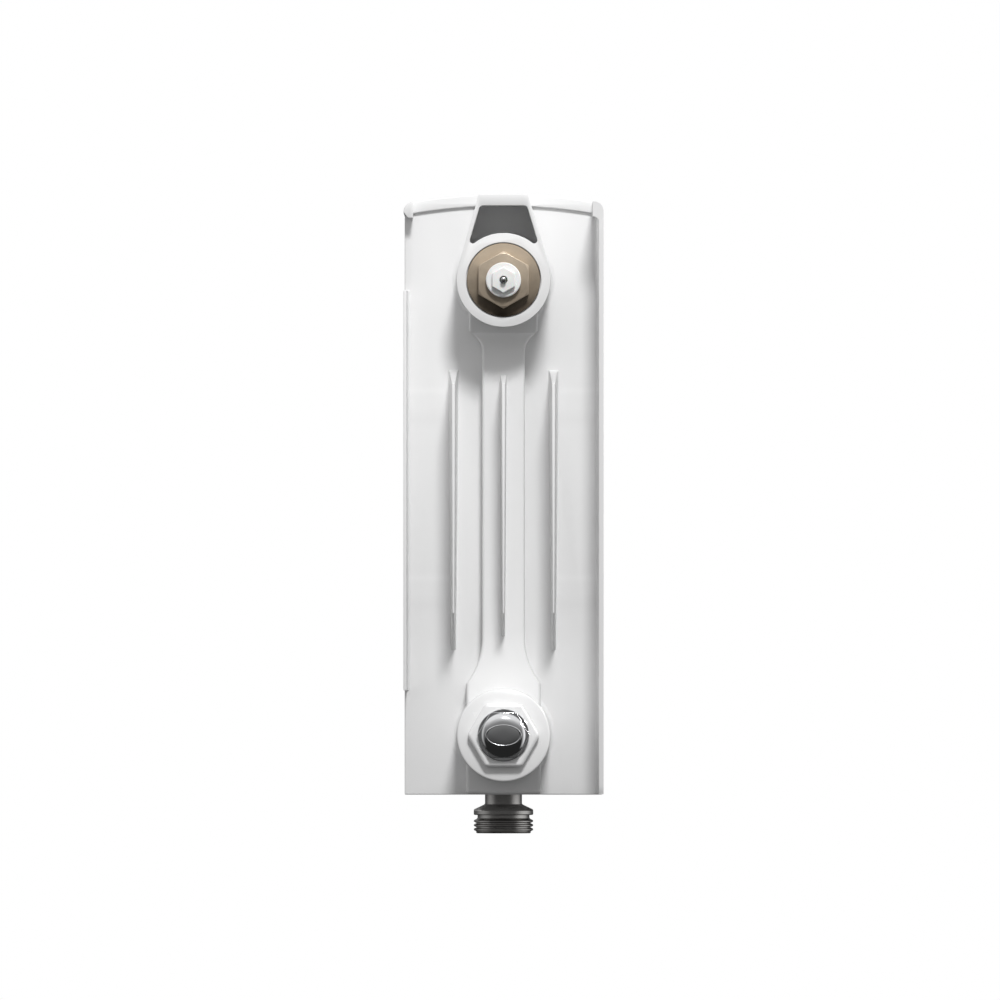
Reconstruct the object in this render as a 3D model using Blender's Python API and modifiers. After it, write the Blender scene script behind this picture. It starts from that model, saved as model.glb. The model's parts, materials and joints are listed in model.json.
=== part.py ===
"""Sectional die-cast radiator with bottom pipe connections and a built-in valve.

Units are metres. X runs along the radiator, from the valve end (-X) to the vent end (+X).
The front panel faces -Y, the wall side faces +Y, and +Z is up. Z = 0 is the lower end of
the pipe connectors, and X = 0 is halfway between the radiator's outermost points.
"""
import math

import bmesh
import bpy
from mathutils import Matrix, Vector

MM = 0.001
GAP = 0.3 * MM                      # left between neighbouring pieces
SLIVER = 0.01 * MM                  # merge distance

# Driving dimensions of the radiator
SECTIONS = 5
PITCH = 80 * MM                     # one section's share of the length
DEPTH = 88 * MM
PORT_SPACING = 200 * MM             # between the upper and lower collectors
CONNECTION_SPACING = 50 * MM        # between the two pipe connectors
BODY_BOTTOM = 17.1 * MM
LOWER_PORT = 43.5 * MM
UPPER_PORT = LOWER_PORT + PORT_SPACING
BODY_TOP = 281.3 * MM

# Casting
WEB = 2.2 * MM
RIM_HEIGHT = 5 * MM
RIM_WIDTH = 6.4 * MM
ARCH_RADIUS = 240 * MM
CORNER_RADIUS = 4.4 * MM
PANEL = 2 * MM
PANEL_WIDTH = 76.8 * MM
HOOK = 4.8 * MM
REAR_PLATE = 1.4 * MM
REAR_WIDTH = 44 * MM
REAR_LOW, REAR_HIGH = 63 * MM, 239 * MM
COLLAR_RADIUS = 20.65 * MM
BORE_RADIUS = 15.3 * MM
GASKET = 1 * MM
COLLAR_HALF = (PITCH - GASKET) / 2 - GAP
SEAT_RADIUS, SEAT_DEPTH = 16.6 * MM, 2.5 * MM
ARM = 1.5 * MM
ARM_LEAN = math.radians(16)
COLUMN_DEPTH, COLUMN_WIDTH = 18.8 * MM, 23 * MM
CHANNEL_RADIUS = 7 * MM
UPPER_BOSS = Vector((30.6, 30.3)) * MM      # along X, along Y
LOWER_BOSS = Vector((32.0, 32.7)) * MM
FIN_PLACES = (-22 * MM, 0.0, 22 * MM)
FIN_REACH = 37 * MM
FIN_ROOT, FIN_TIP = 3.4 * MM, 1.5 * MM
FIN_ROOT_Z = (81 * MM, 203.5 * MM)
FIN_TIP_Z = (97 * MM, 198 * MM)

# Threads and sealing surfaces, as plain cylinders
G1_RADIUS = 14.9 * MM
G_HALF_RADIUS = 9.3 * MM
G_HALF_BORE = 9.6 * MM
NIPPLE_HALF, NIPPLE_RADIUS, NIPPLE_BORE = 13 * MM, 14.9 * MM, 12.5 * MM
CONNECTOR_BORE = 8.5 * MM
RELIEF = 0.3 * MM                   # a bore's widening under a hexagon

# Pieces at the ends. Heights count outwards from the collar's face.
FACE = GASKET + 2 * GAP             # under a plug's flange
FLANGE = 3.4 * MM
PLUG_TOP = FACE + FLANGE + 5 * MM
PLUG_FLATS = 27.7 * MM
BLANK_FLATS = 20 * MM
FLAT_UP = math.radians(90)
GASKET_RADIUS, GASKET_BORE = 20.2 * MM, 15.6 * MM
PIN_TIP = 15.4 * MM
VENT_TIP = 21 * MM
BLANK_TIP = 15.8 * MM

NEAR_FACE = PITCH / 2 - COLLAR_HALF
FAR_FACE = SECTIONS * PITCH - NEAR_FACE
START = -((NEAR_FACE - BLANK_TIP) + (FAR_FACE + VENT_TIP)) / 2


def x_at(length):
    """World X of a point this far along the radiator from its first joint plane."""
    return START + length


# ---------------------------------------------------------------- scene and helpers

for leftover in list(bpy.data.objects):
    bpy.data.objects.remove(leftover, do_unlink=True)

parts = bpy.data.collections.new("radiator_with_valve")
tools = bpy.data.collections.new("cutters")
bpy.context.scene.collection.children.link(parts)
bpy.context.scene.collection.children.link(tools)


def make_material(name, colour, roughness, metallic=0.0):
    material = bpy.data.materials.new(name)
    material.use_nodes = True
    shader = material.node_tree.nodes["Principled BSDF"]
    shader.inputs["Base Color"].default_value = (*colour, 1.0)
    shader.inputs["Roughness"].default_value = roughness
    shader.inputs["Metallic"].default_value = metallic
    return material


def white_powder_coat():
    return make_material("white_powder_coat", (0.80, 0.80, 0.80), 0.35)


def passivated_brass():
    return make_material("passivated_brass", (0.62, 0.50, 0.34), 0.32, 1.0)


def chrome():
    return make_material("chrome_plate", (0.78, 0.78, 0.79), 0.08, 1.0)


def nickel():
    return make_material("nickel_plate", (0.42, 0.42, 0.41), 0.28, 1.0)


def steel():
    return make_material("steel", (0.50, 0.50, 0.50), 0.30, 1.0)


def rubber():
    return make_material("black_rubber", (0.03, 0.03, 0.03), 0.75)


def white_plastic():
    return make_material("white_plastic", (0.86, 0.86, 0.85), 0.30)


def gasket_fibre():
    return make_material("gasket_fibre", (0.70, 0.69, 0.66), 0.70)


def show(piece, material=None, collection=parts):
    """Puts an object in its collection; without a material it is a cutter or a guide."""
    collection.objects.link(piece)
    if material:
        piece.data.materials.append(material)
    else:
        piece.hide_render = True
        piece.display_type = "WIRE"
    return piece


def from_bmesh(name, shape):
    mesh = bpy.data.meshes.new(name)
    shape.to_mesh(mesh)
    shape.free()
    return bpy.data.objects.new(name, mesh)


def box(name, low, high):
    """A box between two corners, placed by its location."""
    low, high = Vector(low), Vector(high)
    shape = bmesh.new()
    bmesh.ops.create_cube(shape, size=1.0)
    bmesh.ops.scale(shape, vec=high - low, verts=shape.verts)
    piece = from_bmesh(name, shape)
    piece.location = (low + high) / 2
    return piece


def tapered_box(name, low, high, low_size, high_size):
    """A box from z = low to high whose X and Y sizes change from low_size to high_size."""
    shape = bmesh.new()
    bmesh.ops.create_cube(shape, size=1.0)
    for vert in shape.verts:
        size = high_size if vert.co.z > 0 else low_size
        vert.co.x *= size[0]
        vert.co.y *= size[1]
        vert.co.z = high if vert.co.z > 0 else low
    return from_bmesh(name, shape)


def rod(name, radius, start, end, segments=20):
    """A cylinder from one point to another."""
    start, end = Vector(start), Vector(end)
    shape = bmesh.new()
    bmesh.ops.create_cone(
        shape, cap_ends=True, segments=segments, radius1=radius, radius2=radius, depth=(end - start).length
    )
    piece = from_bmesh(name, shape)
    piece.rotation_euler = (end - start).to_track_quat("Z", "Y").to_euler()
    piece.location = (start + end) / 2
    return piece


def plate(name, outlines, half_width):
    """Flat outlines given as (y, z) points, extruded along X to both sides of the middle plane."""
    curve = bpy.data.curves.new(name, "CURVE")
    curve.dimensions = "2D"
    curve.fill_mode = "BOTH"
    curve.extrude = half_width
    for outline in outlines:
        spline = curve.splines.new("POLY")
        spline.points.add(len(outline) - 1)
        for point, (y, z) in zip(spline.points, outline):
            point.co = (y, z, 0.0, 1.0)
        spline.use_cyclic_u = True
    guide = bpy.data.objects.new(name, curve)
    bpy.context.scene.collection.objects.link(guide)
    stand_up = Matrix(((0, 0, 1, 0), (1, 0, 0, 0), (0, 1, 0, 0), (0, 0, 0, 1)))
    guide.matrix_world = stand_up
    bpy.context.view_layer.update()
    mesh = evaluated_mesh(guide)
    bpy.data.objects.remove(guide, do_unlink=True)
    mesh.transform(stand_up)
    weld(mesh)
    return bpy.data.objects.new(name, mesh)


def evaluated_mesh(piece):
    """The mesh of an object with its modifiers applied, in the object's own axes."""
    view = bpy.context.evaluated_depsgraph_get()
    return bpy.data.meshes.new_from_object(piece.evaluated_get(view))


def weld(mesh):
    shape = bmesh.new()
    shape.from_mesh(mesh)
    bmesh.ops.remove_doubles(shape, verts=shape.verts, dist=SLIVER)
    bmesh.ops.recalc_face_normals(shape, faces=shape.faces)
    shape.to_mesh(mesh)
    shape.free()


def arc(centre, radius, start, end, steps):
    """Points on an arc in the (y, z) plane, angles in degrees from +Y towards +Z."""
    points = []
    for step in range(steps + 1):
        angle = math.radians(start + (end - start) * step / steps)
        points.append((centre[0] + radius * math.cos(angle), centre[1] + radius * math.sin(angle)))
    return points


def combine(piece, others, operation):
    """Adds each of the other shapes to a piece, or cuts it away, and keeps the others as cutters."""
    for other in others:
        show(other, collection=tools)
        step = piece.modifiers.new(other.name, "BOOLEAN")
        step.operation = operation
        step.solver = "EXACT"
        step.object = other


def finish_shape(piece, sharp=30):
    """Replaces a piece's modifiers by their result, in world axes, shaded smooth up to an angle."""
    bpy.context.view_layer.update()
    mesh = evaluated_mesh(piece)
    mesh.transform(piece.matrix_world)
    weld(mesh)
    mesh.name = piece.name
    smooth(mesh, sharp)
    return mesh


def smooth(mesh, sharp=30):
    mesh.shade_smooth()
    mesh.set_sharp_from_angle(angle=math.radians(sharp))


def turned(name, profile, segments=32):
    """A turned shape about its own Z: (radius, height) points down the outside, then up the bore."""
    mesh = bpy.data.meshes.new(name)
    closed = min(radius for radius, _ in profile) > 0
    edges = [(i, i + 1) for i in range(len(profile) - 1)]
    if closed:
        edges.append((len(profile) - 1, 0))
    mesh.from_pydata([(radius, 0.0, height) for radius, height in profile], edges, [])
    piece = bpy.data.objects.new(name, mesh)
    turn = piece.modifiers.new("turn", "SCREW")
    turn.steps = turn.render_steps = segments
    turn.use_merge_vertices = True
    turn.merge_threshold = SLIVER
    return piece


def hexagon(name, across_flats, low, high, turn=0.0):
    """A hexagonal prism about its own Z, with a corner at +X when turn is 0."""
    shape = bmesh.new()
    bmesh.ops.create_cone(
        shape,
        cap_ends=True,
        segments=6,
        radius1=across_flats / math.sqrt(3),
        radius2=across_flats / math.sqrt(3),
        depth=high - low,
    )
    shape.verts.ensure_lookup_table()
    corner = shape.verts[0].co
    to_corner = math.atan2(corner.y, corner.x)
    bmesh.ops.rotate(shape, verts=shape.verts, matrix=Matrix.Rotation(turn - to_corner, 3, "Z"))
    bmesh.ops.translate(shape, verts=shape.verts, vec=(0, 0, (high + low) / 2))
    return from_bmesh(name, shape)


def ring(name, radius, bore, low, high, segments=32):
    return turned(name, [(radius, high), (radius, low), (bore, low), (bore, high)], segments)


def o_ring(name, radius, thickness, height, segments=16):
    """A rubber ring: centre-line radius, thickness of its cord, and the height of its middle."""
    profile = arc((radius, height), thickness / 2, 60, -240, 5)
    return turned(name, profile, segments)


NEAR_END = math.radians(-90)        # local Z points along -X
FAR_END = math.radians(90)          # local Z points along +X


def at_port(piece, port, end, material, additions=(), cuts=()):
    """Places an end piece on a collector's collar, with its own Z pointing out of the radiator."""
    place = Vector((x_at(NEAR_FACE if end == NEAR_END else FAR_FACE), 0.0, port))
    for shape in (*additions, *cuts):
        shape.parent = piece
    piece.location = place
    piece.rotation_euler = (0.0, end, 0.0)
    show(piece, material)
    combine(piece, additions, "UNION")
    combine(piece, cuts, "DIFFERENCE")
    if piece.modifiers:
        settle(piece)
    return piece


def settle(piece):
    """Applies a piece's modifiers in its own axes and shades it smooth."""
    bpy.context.view_layer.update()
    mesh = evaluated_mesh(piece)
    weld(mesh)
    smooth(mesh)
    piece.modifiers.clear()
    piece.data = mesh


# ---------------------------------------------------------------- casting

def arch_height(y, drop=0.0):
    """Height of the arched top over a point this far from the middle, less a drop."""
    radius = ARCH_RADIUS - drop
    return BODY_TOP - ARCH_RADIUS + math.sqrt(radius * radius - y * y)


def arch(start, end, steps, drop=0.0):
    ys = [start + (end - start) * step / steps for step in range(steps + 1)]
    return [(y, arch_height(y, drop)) for y in ys]


def rounded_top(edge, foot):
    """Upper outline of the casting from its front foot over the arch to its rear foot."""
    radius = CORNER_RADIUS
    centre_z = arch_height(edge - radius) - radius
    front = arc((-(edge - radius), centre_z), radius, 180, 100, 3)
    rear = arc((edge - radius, centre_z), radius, 80, 0, 3)
    middle = arch(-(edge - 1.8 * radius), edge - 1.8 * radius, 8)
    return [(-edge, foot), *front, *middle, *rear, (edge, foot)]


def web_shape():
    """The thin wall across the section; its top edge lies inside the rim."""
    edge = DEPTH / 2 - 0.6 * MM
    shoulder = edge - CORNER_RADIUS
    top = arch(-shoulder, shoulder, 4, RIM_HEIGHT / 2)
    foot = top[0][1] - CORNER_RADIUS
    outline = [(-edge, BODY_BOTTOM), (-edge, foot), *top, (edge, foot), (edge, BODY_BOTTOM)]
    return plate("web", [outline], WEB / 2)


def rim_shape():
    """The bead along the web's arched top edge."""
    foot = arch_height(DEPTH / 2 - CORNER_RADIUS, RIM_HEIGHT) - 0.6 * MM
    outer = rounded_top(DEPTH / 2, foot)
    reach = DEPTH / 2 - 0.8 * CORNER_RADIUS
    inner = arch(reach, -reach, 8, RIM_HEIGHT)
    return plate("rim", [outer + inner], RIM_WIDTH / 2)


def panel_shape():
    """The front panel with the hook that closes its top."""
    half = DEPTH / 2
    centre = (-half + CORNER_RADIUS, arch_height(half - CORNER_RADIUS) - CORNER_RADIUS)
    outer = [(-half, BODY_BOTTOM + 1.4 * MM), *arc(centre, CORNER_RADIUS, 180, 100, 3)]
    tip = -half + HOOK
    hook_foot = arch_height(tip, RIM_HEIGHT) - 1.5 * MM
    hook = [(tip, arch_height(tip)), (tip, hook_foot), (-half + PANEL + 0.7 * MM, hook_foot - 1.6 * MM)]
    inner = [(-half + PANEL, hook_foot - 5 * MM), (-half + PANEL, BODY_BOTTOM + 0.4 * MM)]
    foot = [(-half + 1 * MM, BODY_BOTTOM + 0.4 * MM)]
    return plate("front_panel", [outer + hook + inner + foot], PANEL_WIDTH / 2)


def rear_lip_shape():
    """The short lip at the top of the wall side."""
    half = DEPTH / 2
    centre = (half - CORNER_RADIUS, arch_height(half - CORNER_RADIUS) - CORNER_RADIUS)
    tip = half - 4.2 * MM
    foot = arch_height(tip, RIM_HEIGHT) - 2 * MM
    outer = arc(centre, CORNER_RADIUS, 80, 0, 3)
    outline = [(tip, arch_height(tip)), *outer, (half, foot + 2.5 * MM), (half - 2 * MM, foot), (tip, foot)]
    return plate("rear_lip", [outline], 12 * MM)


def keyhole_shape():
    """The upper collector, with two arms that lean in to the arch and leave a pocket between them."""
    lean = math.degrees(ARM_LEAN)
    top = arch_height(0)

    def arm_y(z, inwards):
        """Y of an arm's face at a height: a line that touches the collar's circle."""
        radius = COLLAR_RADIUS - inwards
        return (radius - (z - UPPER_PORT) * math.sin(ARM_LEAN)) / math.cos(ARM_LEAN)

    reach = arm_y(top - 1 * MM, 0)
    collar = (0, UPPER_PORT)
    round_collar = arc(collar, COLLAR_RADIUS, 180 - lean, 360 + lean, 15)
    outer = [*round_collar, *arch(reach, -reach, 4, 0.2 * MM)]
    sill = top - RIM_HEIGHT
    head = arm_y(sill, ARM)
    corner = 1.8 * MM
    window_end = lean + math.degrees(math.acos((COLLAR_RADIUS - ARM) / COLLAR_RADIUS))
    window = arc((head - corner, sill - corner), corner, 10, 80, 2)
    window += [(-y, z) for y, z in reversed(window)]
    window += arc(collar, COLLAR_RADIUS, 180 - window_end, window_end, 6)
    return plate("keyhole", [outer, window], COLLAR_HALF)


def fin_shape(index, y, side):
    """A fin that stands out of the web, thinner and shorter towards its free edge."""
    shape = bmesh.new()
    bmesh.ops.create_cube(shape, size=1.0)
    for vert in shape.verts:
        outer = vert.co.x > 0
        top = vert.co.z > 0
        vert.co.x = side * (FIN_REACH if outer else 0.5 * MM)
        vert.co.y = y + math.copysign((FIN_TIP if outer else FIN_ROOT) / 2, vert.co.y)
        vert.co.z = (FIN_TIP_Z if outer else FIN_ROOT_Z)[1 if top else 0]
    bmesh.ops.recalc_face_normals(shape, faces=shape.faces)
    return from_bmesh(f"fin_{index}_{'near' if side < 0 else 'far'}", shape)


def bosses():
    """Column, bosses under and over the collectors, and the slopes that join them to the column."""
    column = (COLUMN_WIDTH, COLUMN_DEPTH)
    half_upper, half_lower = UPPER_BOSS / 2, LOWER_BOSS / 2
    shaft = tapered_box("column", 60 * MM, 232 * MM, column, column)
    upper = box("upper_boss", (-half_upper[0], -half_upper[1], 220 * MM),
                (half_upper[0], half_upper[1], 240 * MM))
    lower = box("lower_boss", (-half_lower[0], -half_lower[1], BODY_BOTTOM + 0.5 * MM),
                (half_lower[0], half_lower[1], 66.5 * MM))
    inset = Vector((0.4, 0.4)) * MM
    upper_slope = tapered_box("upper_slope", 213 * MM, 220.5 * MM, column, UPPER_BOSS - inset)
    lower_slope = tapered_box("lower_slope", 66 * MM, 77 * MM, LOWER_BOSS - inset, column)
    return [shaft, upper, lower, upper_slope, lower_slope]


def section_mesh(name, connection_side=0, valve_seat=False):
    """One casting about its middle plane. connection_side is the side that takes a pipe connector."""
    body = keyhole_shape()
    pieces = [web_shape(), rim_shape(), panel_shape(), rear_lip_shape()]
    pieces.append(box("rear_plate", (-REAR_WIDTH / 2, DEPTH / 2 - REAR_PLATE, REAR_LOW),
                      (REAR_WIDTH / 2, DEPTH / 2, REAR_HIGH)))
    pieces.append(rod("lower_tube", COLLAR_RADIUS, (-COLLAR_HALF, 0, LOWER_PORT),
                      (COLLAR_HALF, 0, LOWER_PORT)))
    pieces += bosses()
    for index, y in enumerate(FIN_PLACES, 1):
        pieces += [fin_shape(index, y, side) for side in (-1, 1)]
    past = COLLAR_HALF + 2 * MM
    cuts = [rod("lower_bore", BORE_RADIUS, (-past, 0, LOWER_PORT), (past, 0, LOWER_PORT)),
            rod("upper_bore", BORE_RADIUS, (-past, 0, UPPER_PORT), (past, 0, UPPER_PORT)),
            rod("channel", CHANNEL_RADIUS, (0, 0, LOWER_PORT), (0, 0, UPPER_PORT), 12)]
    if connection_side:
        reach = connection_side * 29 * MM
        half_depth = LOWER_BOSS[1] / 2 + 0.1 * MM
        pieces.append(box("connection_boss", (min(0, reach), -half_depth, BODY_BOTTOM + 0.6 * MM),
                          (max(0, reach), half_depth, LOWER_PORT)))
        place = connection_side * (PITCH - CONNECTION_SPACING) / 2
        cuts.append(rod("connection_bore", CONNECTOR_BORE, (place, 0, 0), (place, 0, LOWER_PORT), 24))
    if valve_seat:
        cuts.append(rod("valve_seat", SEAT_RADIUS, (-past, 0, UPPER_PORT),
                        (-COLLAR_HALF + SEAT_DEPTH, 0, UPPER_PORT)))
    body.name = name
    bpy.context.scene.collection.objects.link(body)
    combine(body, pieces, "UNION")
    combine(body, cuts, "DIFFERENCE")
    mesh = finish_shape(body)
    bpy.data.objects.remove(body, do_unlink=True)
    for used in [*pieces, *cuts]:
        bpy.data.objects.remove(used, do_unlink=True)
    return mesh


def make_sections():
    plain = section_mesh("section")
    first = section_mesh("section_valve_end", connection_side=1, valve_seat=True)
    second = section_mesh("section_return", connection_side=-1)
    coat = white_powder_coat()
    for mesh in (plain, first, second):
        mesh.materials.append(coat)
    for number in range(1, SECTIONS + 1):
        mesh = {1: first, 2: second}.get(number, plain)
        section = bpy.data.objects.new(f"section_{number}", mesh)
        section.location.x = x_at((number - 0.5) * PITCH)
        parts.objects.link(section)


# ---------------------------------------------------------------- joints between sections

def make_joint_pieces():
    """A threaded nipple and a gasket ring for each port of each joint."""
    fibre, metal = gasket_fibre(), steel()
    profile = [(NIPPLE_RADIUS, NIPPLE_HALF), (NIPPLE_RADIUS, -NIPPLE_HALF),
               (NIPPLE_BORE, -NIPPLE_HALF), (NIPPLE_BORE, NIPPLE_HALF)]
    for label, port in (("upper", UPPER_PORT), ("lower", LOWER_PORT)):
        for joint in range(1, SECTIONS):
            place = (x_at(joint * PITCH), 0.0, port)
            nipple = show(turned(f"{label}_nipple_{joint}", profile, 16), metal)
            gasket = ring(f"{label}_gasket_{joint}", GASKET_RADIUS, GASKET_BORE,
                          -GASKET / 2, GASKET / 2, 16)
            show(gasket, fibre)
            for piece in (nipple, gasket):
                piece.location = place
                piece.rotation_euler = (0.0, NEAR_END, 0.0)
                settle(piece)


def make_flow_separator():
    """Plastic cup in the first lower nipple, which parts the supply from the return."""
    radius = NIPPLE_BORE - GAP
    profile = [(0, 5 * MM), (radius - 2 * MM, 5 * MM), (radius - 2 * MM, 4 * MM), (radius, 4 * MM),
               (radius, -5 * MM), (radius - 2 * MM, -5 * MM), (radius - 2 * MM, 2.5 * MM), (0, 2.5 * MM)]
    cup = show(turned("flow_separator", profile, 16), white_plastic())
    cup.location = (x_at(PITCH), 0.0, LOWER_PORT)
    cup.rotation_euler = (0.0, NEAR_END, 0.0)
    settle(cup)


# ---------------------------------------------------------------- valve, in the upper near port

VALVE_HEX_TOP = 5.8 * MM
RING_TOP = 12.3 * MM
VALVE_TRAVEL = 2.8 * MM
DISC_FACE = -58.8 * MM              # underside of the rubber disc, open
SEAT_FACE = DISC_FACE - VALVE_TRAVEL - GAP
STEM_RADIUS = 1.2 * MM
GLAND_BORE = 5.2 * MM
CHAMBER = 7.2 * MM


def make_valve_body():
    """Brass body: round face level with the collar, thread, and a barrel into the first nipple."""
    face = -0.2 * MM
    barrel, tip, groove = 9 * MM, 12.1 * MM, 10.2 * MM
    profile = [(16.1 * MM, face), (16.1 * MM, face - 2 * MM), (G1_RADIUS, face - 2 * MM),
               (G1_RADIUS, -15 * MM), (barrel, -17 * MM), (barrel, -61 * MM), (tip, -67 * MM),
               (tip, -70 * MM), (groove, -70 * MM), (groove, -72.4 * MM),
               (tip, -72.4 * MM), (tip, -75 * MM), (8.5 * MM, -75 * MM), (4.5 * MM, SEAT_FACE - 2 * MM),
               (4.5 * MM, SEAT_FACE), (CHAMBER, SEAT_FACE), (CHAMBER, -20 * MM), (GLAND_BORE, -18 * MM),
               (GLAND_BORE, face)]
    turned_body = turned("valve_body", profile, 20)
    head = hexagon("valve_hex", 22 * MM, -1.2 * MM, VALVE_HEX_TOP)
    head_bore = rod("valve_head_bore", GLAND_BORE + RELIEF, (0, 0, -1.6 * MM), (0, 0, 10 * MM), 20)
    windows = [box("window_across", (-11 * MM, -3 * MM, -56 * MM), (11 * MM, 3 * MM, -48.5 * MM)),
               box("window_along", (-3 * MM, -11 * MM, -56 * MM), (3 * MM, 11 * MM, -48.5 * MM))]
    at_port(turned_body, UPPER_PORT, NEAR_END, passivated_brass(), [head], [head_bore, *windows])


def make_valve_inside():
    black, metal = rubber(), steel()
    at_port(o_ring("valve_tip_seal", 11.35 * MM, 1.1 * MM, -71.2 * MM), UPPER_PORT, NEAR_END, black)
    ring_profile = [(7.7 * MM, 9.2 * MM), (7.7 * MM, VALVE_HEX_TOP + GAP),
                    (GLAND_BORE - GAP, VALVE_HEX_TOP + GAP), (GLAND_BORE - GAP, -12 * MM),
                    (STEM_RADIUS + GAP, -12 * MM), (STEM_RADIUS + GAP, 9.2 * MM)]
    at_port(turned("presetting_ring", ring_profile, 24), UPPER_PORT, NEAR_END, white_plastic(),
            [hexagon("ring_hex", 10 * MM, 7 * MM, RING_TOP)],
            [rod("ring_bore", STEM_RADIUS + GAP + RELIEF, (0, 0, 6.5 * MM), (0, 0, 15 * MM), 16)])
    gland = ring("gland_ring", GLAND_BORE - GAP, STEM_RADIUS + GAP, -15.5 * MM, -12 * MM - GAP, 16)
    at_port(gland, UPPER_PORT, NEAR_END, black)
    guide = ring("stem_guide", CHAMBER - GAP, STEM_RADIUS + GAP, -47 * MM, -45 * MM, 16)
    at_port(guide, UPPER_PORT, NEAR_END, passivated_brass())
    collar, plunger, nut = 4.4 * MM, 4.2 * MM, 2.4 * MM
    pin_profile = [(0, PIN_TIP), (0.9 * MM, PIN_TIP), (STEM_RADIUS, PIN_TIP - 0.4 * MM),
                   (STEM_RADIUS, -22 * MM), (collar, -22 * MM), (collar, -23.5 * MM),
                   (STEM_RADIUS, -23.5 * MM), (STEM_RADIUS, -54 * MM), (plunger, -54 * MM),
                   (plunger, -56 * MM), (STEM_RADIUS, -56 * MM),
                   (STEM_RADIUS, DISC_FACE - GAP), (nut, DISC_FACE - GAP), (nut, -60.6 * MM), (0, -60.6 * MM)]
    at_port(turned("valve_pin", pin_profile, 12), UPPER_PORT, NEAR_END, metal)
    disc = ring("valve_disc", 5.6 * MM, STEM_RADIUS + GAP, DISC_FACE, -56 * MM - GAP, 16)
    at_port(disc, UPPER_PORT, NEAR_END, black)


def make_valve_spring():
    """Return spring round the stem, between the stem guide and the stem's collar."""
    wire, radius, turns, steps = 0.4 * MM, 3.2 * MM, 4.5, 8
    low, high = -45 * MM + GAP + wire, -23.5 * MM - VALVE_TRAVEL - GAP - wire
    curve = bpy.data.curves.new("valve_spring", "CURVE")
    curve.dimensions = "3D"
    curve.bevel_depth = wire
    curve.bevel_resolution = 0
    curve.use_fill_caps = True
    spline = curve.splines.new("POLY")
    count = int(turns * steps)
    spline.points.add(count)
    for index, point in enumerate(spline.points):
        angle = math.tau * index / steps
        height = low + (high - low) * index / count
        point.co = (radius * math.cos(angle), radius * math.sin(angle), height, 1.0)
    guide = bpy.data.objects.new("valve_spring_wire", curve)
    bpy.context.scene.collection.objects.link(guide)
    bpy.context.view_layer.update()
    mesh = evaluated_mesh(guide)
    bpy.data.objects.remove(guide, do_unlink=True)
    weld(mesh)
    at_port(bpy.data.objects.new("valve_spring", mesh), UPPER_PORT, NEAR_END, steel())


# ---------------------------------------------------------------- plugs

def make_reducing_plug(name, port, end):
    """White plug with a hexagon and a half-inch thread through its middle."""
    top = FACE + FLANGE
    profile = [(19.6 * MM, top), (20.5 * MM, top - 1 * MM), (20.5 * MM, FACE), (G1_RADIUS, FACE),
               (G1_RADIUS, -13 * MM), (G_HALF_BORE, -13 * MM), (G_HALF_BORE, top)]
    plug = turned(name, profile, 28)
    nut = hexagon(f"{name}_hex", PLUG_FLATS, FACE + 1 * MM, PLUG_TOP, FLAT_UP)
    bore = rod(f"{name}_bore", G_HALF_BORE + RELIEF, (0, 0, FACE + 0.5 * MM), (0, 0, 15 * MM), 28)
    recess = rod(f"{name}_recess", 10.9 * MM, (0, 0, PLUG_TOP - 1.8 * MM), (0, 0, 20 * MM), 28)
    at_port(plug, port, end, white_powder_coat(), [nut], [bore, recess])
    gasket = ring(f"{name}_gasket", GASKET_RADIUS, GASKET_BORE, GAP, GAP + GASKET, 20)
    at_port(gasket, port, end, gasket_fibre())


def make_blank_plug():
    """Chrome plug with a domed hexagon, screwed into the lower reducing plug."""
    base = PLUG_TOP + GAP
    thread_end = -6 * MM
    rim = BLANK_TIP - 2.6 * MM
    head = [(0, BLANK_TIP), (4.5 * MM, BLANK_TIP - 0.25 * MM), (8 * MM, BLANK_TIP - 1 * MM),
            (9.7 * MM, rim), (9.7 * MM, base + 1 * MM), (11.3 * MM, base + 1 * MM), (11.45 * MM, base)]
    shank = [(G_HALF_RADIUS - 0.6 * MM, base), (G_HALF_RADIUS - 0.6 * MM, base - 2 * MM),
             (G_HALF_RADIUS, base - 2 * MM), (G_HALF_RADIUS, thread_end), (0, thread_end)]
    plug = turned("blank_plug", head + shank, 24)
    nut = hexagon("blank_hex", BLANK_FLATS, base + 0.6 * MM, rim - 0.2 * MM, FLAT_UP)
    at_port(plug, LOWER_PORT, NEAR_END, chrome(), [nut])
    seal = o_ring("blank_plug_seal", 9.9 * MM, 1.2 * MM, PLUG_TOP - 0.95 * MM)
    at_port(seal, LOWER_PORT, NEAR_END, rubber())


def make_blind_plug():
    """Closed white plug of the lower far port."""
    top = FACE + FLANGE
    profile = [(0, top), (19.6 * MM, top), (20.5 * MM, top - 1 * MM), (20.5 * MM, FACE), (G1_RADIUS, FACE),
               (G1_RADIUS, -13 * MM), (11 * MM, -13 * MM), (11 * MM, 0), (0, 0)]
    plug = turned("blind_plug", profile, 28)
    nut = hexagon("blind_plug_hex", PLUG_FLATS, FACE + 1 * MM, PLUG_TOP, FLAT_UP)
    at_port(plug, LOWER_PORT, FAR_END, white_powder_coat(), [nut])
    gasket = ring("blind_plug_gasket", GASKET_RADIUS, GASKET_BORE, GAP, GAP + GASKET, 20)
    at_port(gasket, LOWER_PORT, FAR_END, gasket_fibre())


# ---------------------------------------------------------------- air vent, in the upper far port

VENT_PITCH = 0.8 * MM
VENT_HEX = (PLUG_TOP + GAP, PLUG_TOP + GAP + 4.2 * MM)
VENT_SQUARE = 4.6 * MM
NEEDLE_RADIUS = 2.3 * MM


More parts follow.
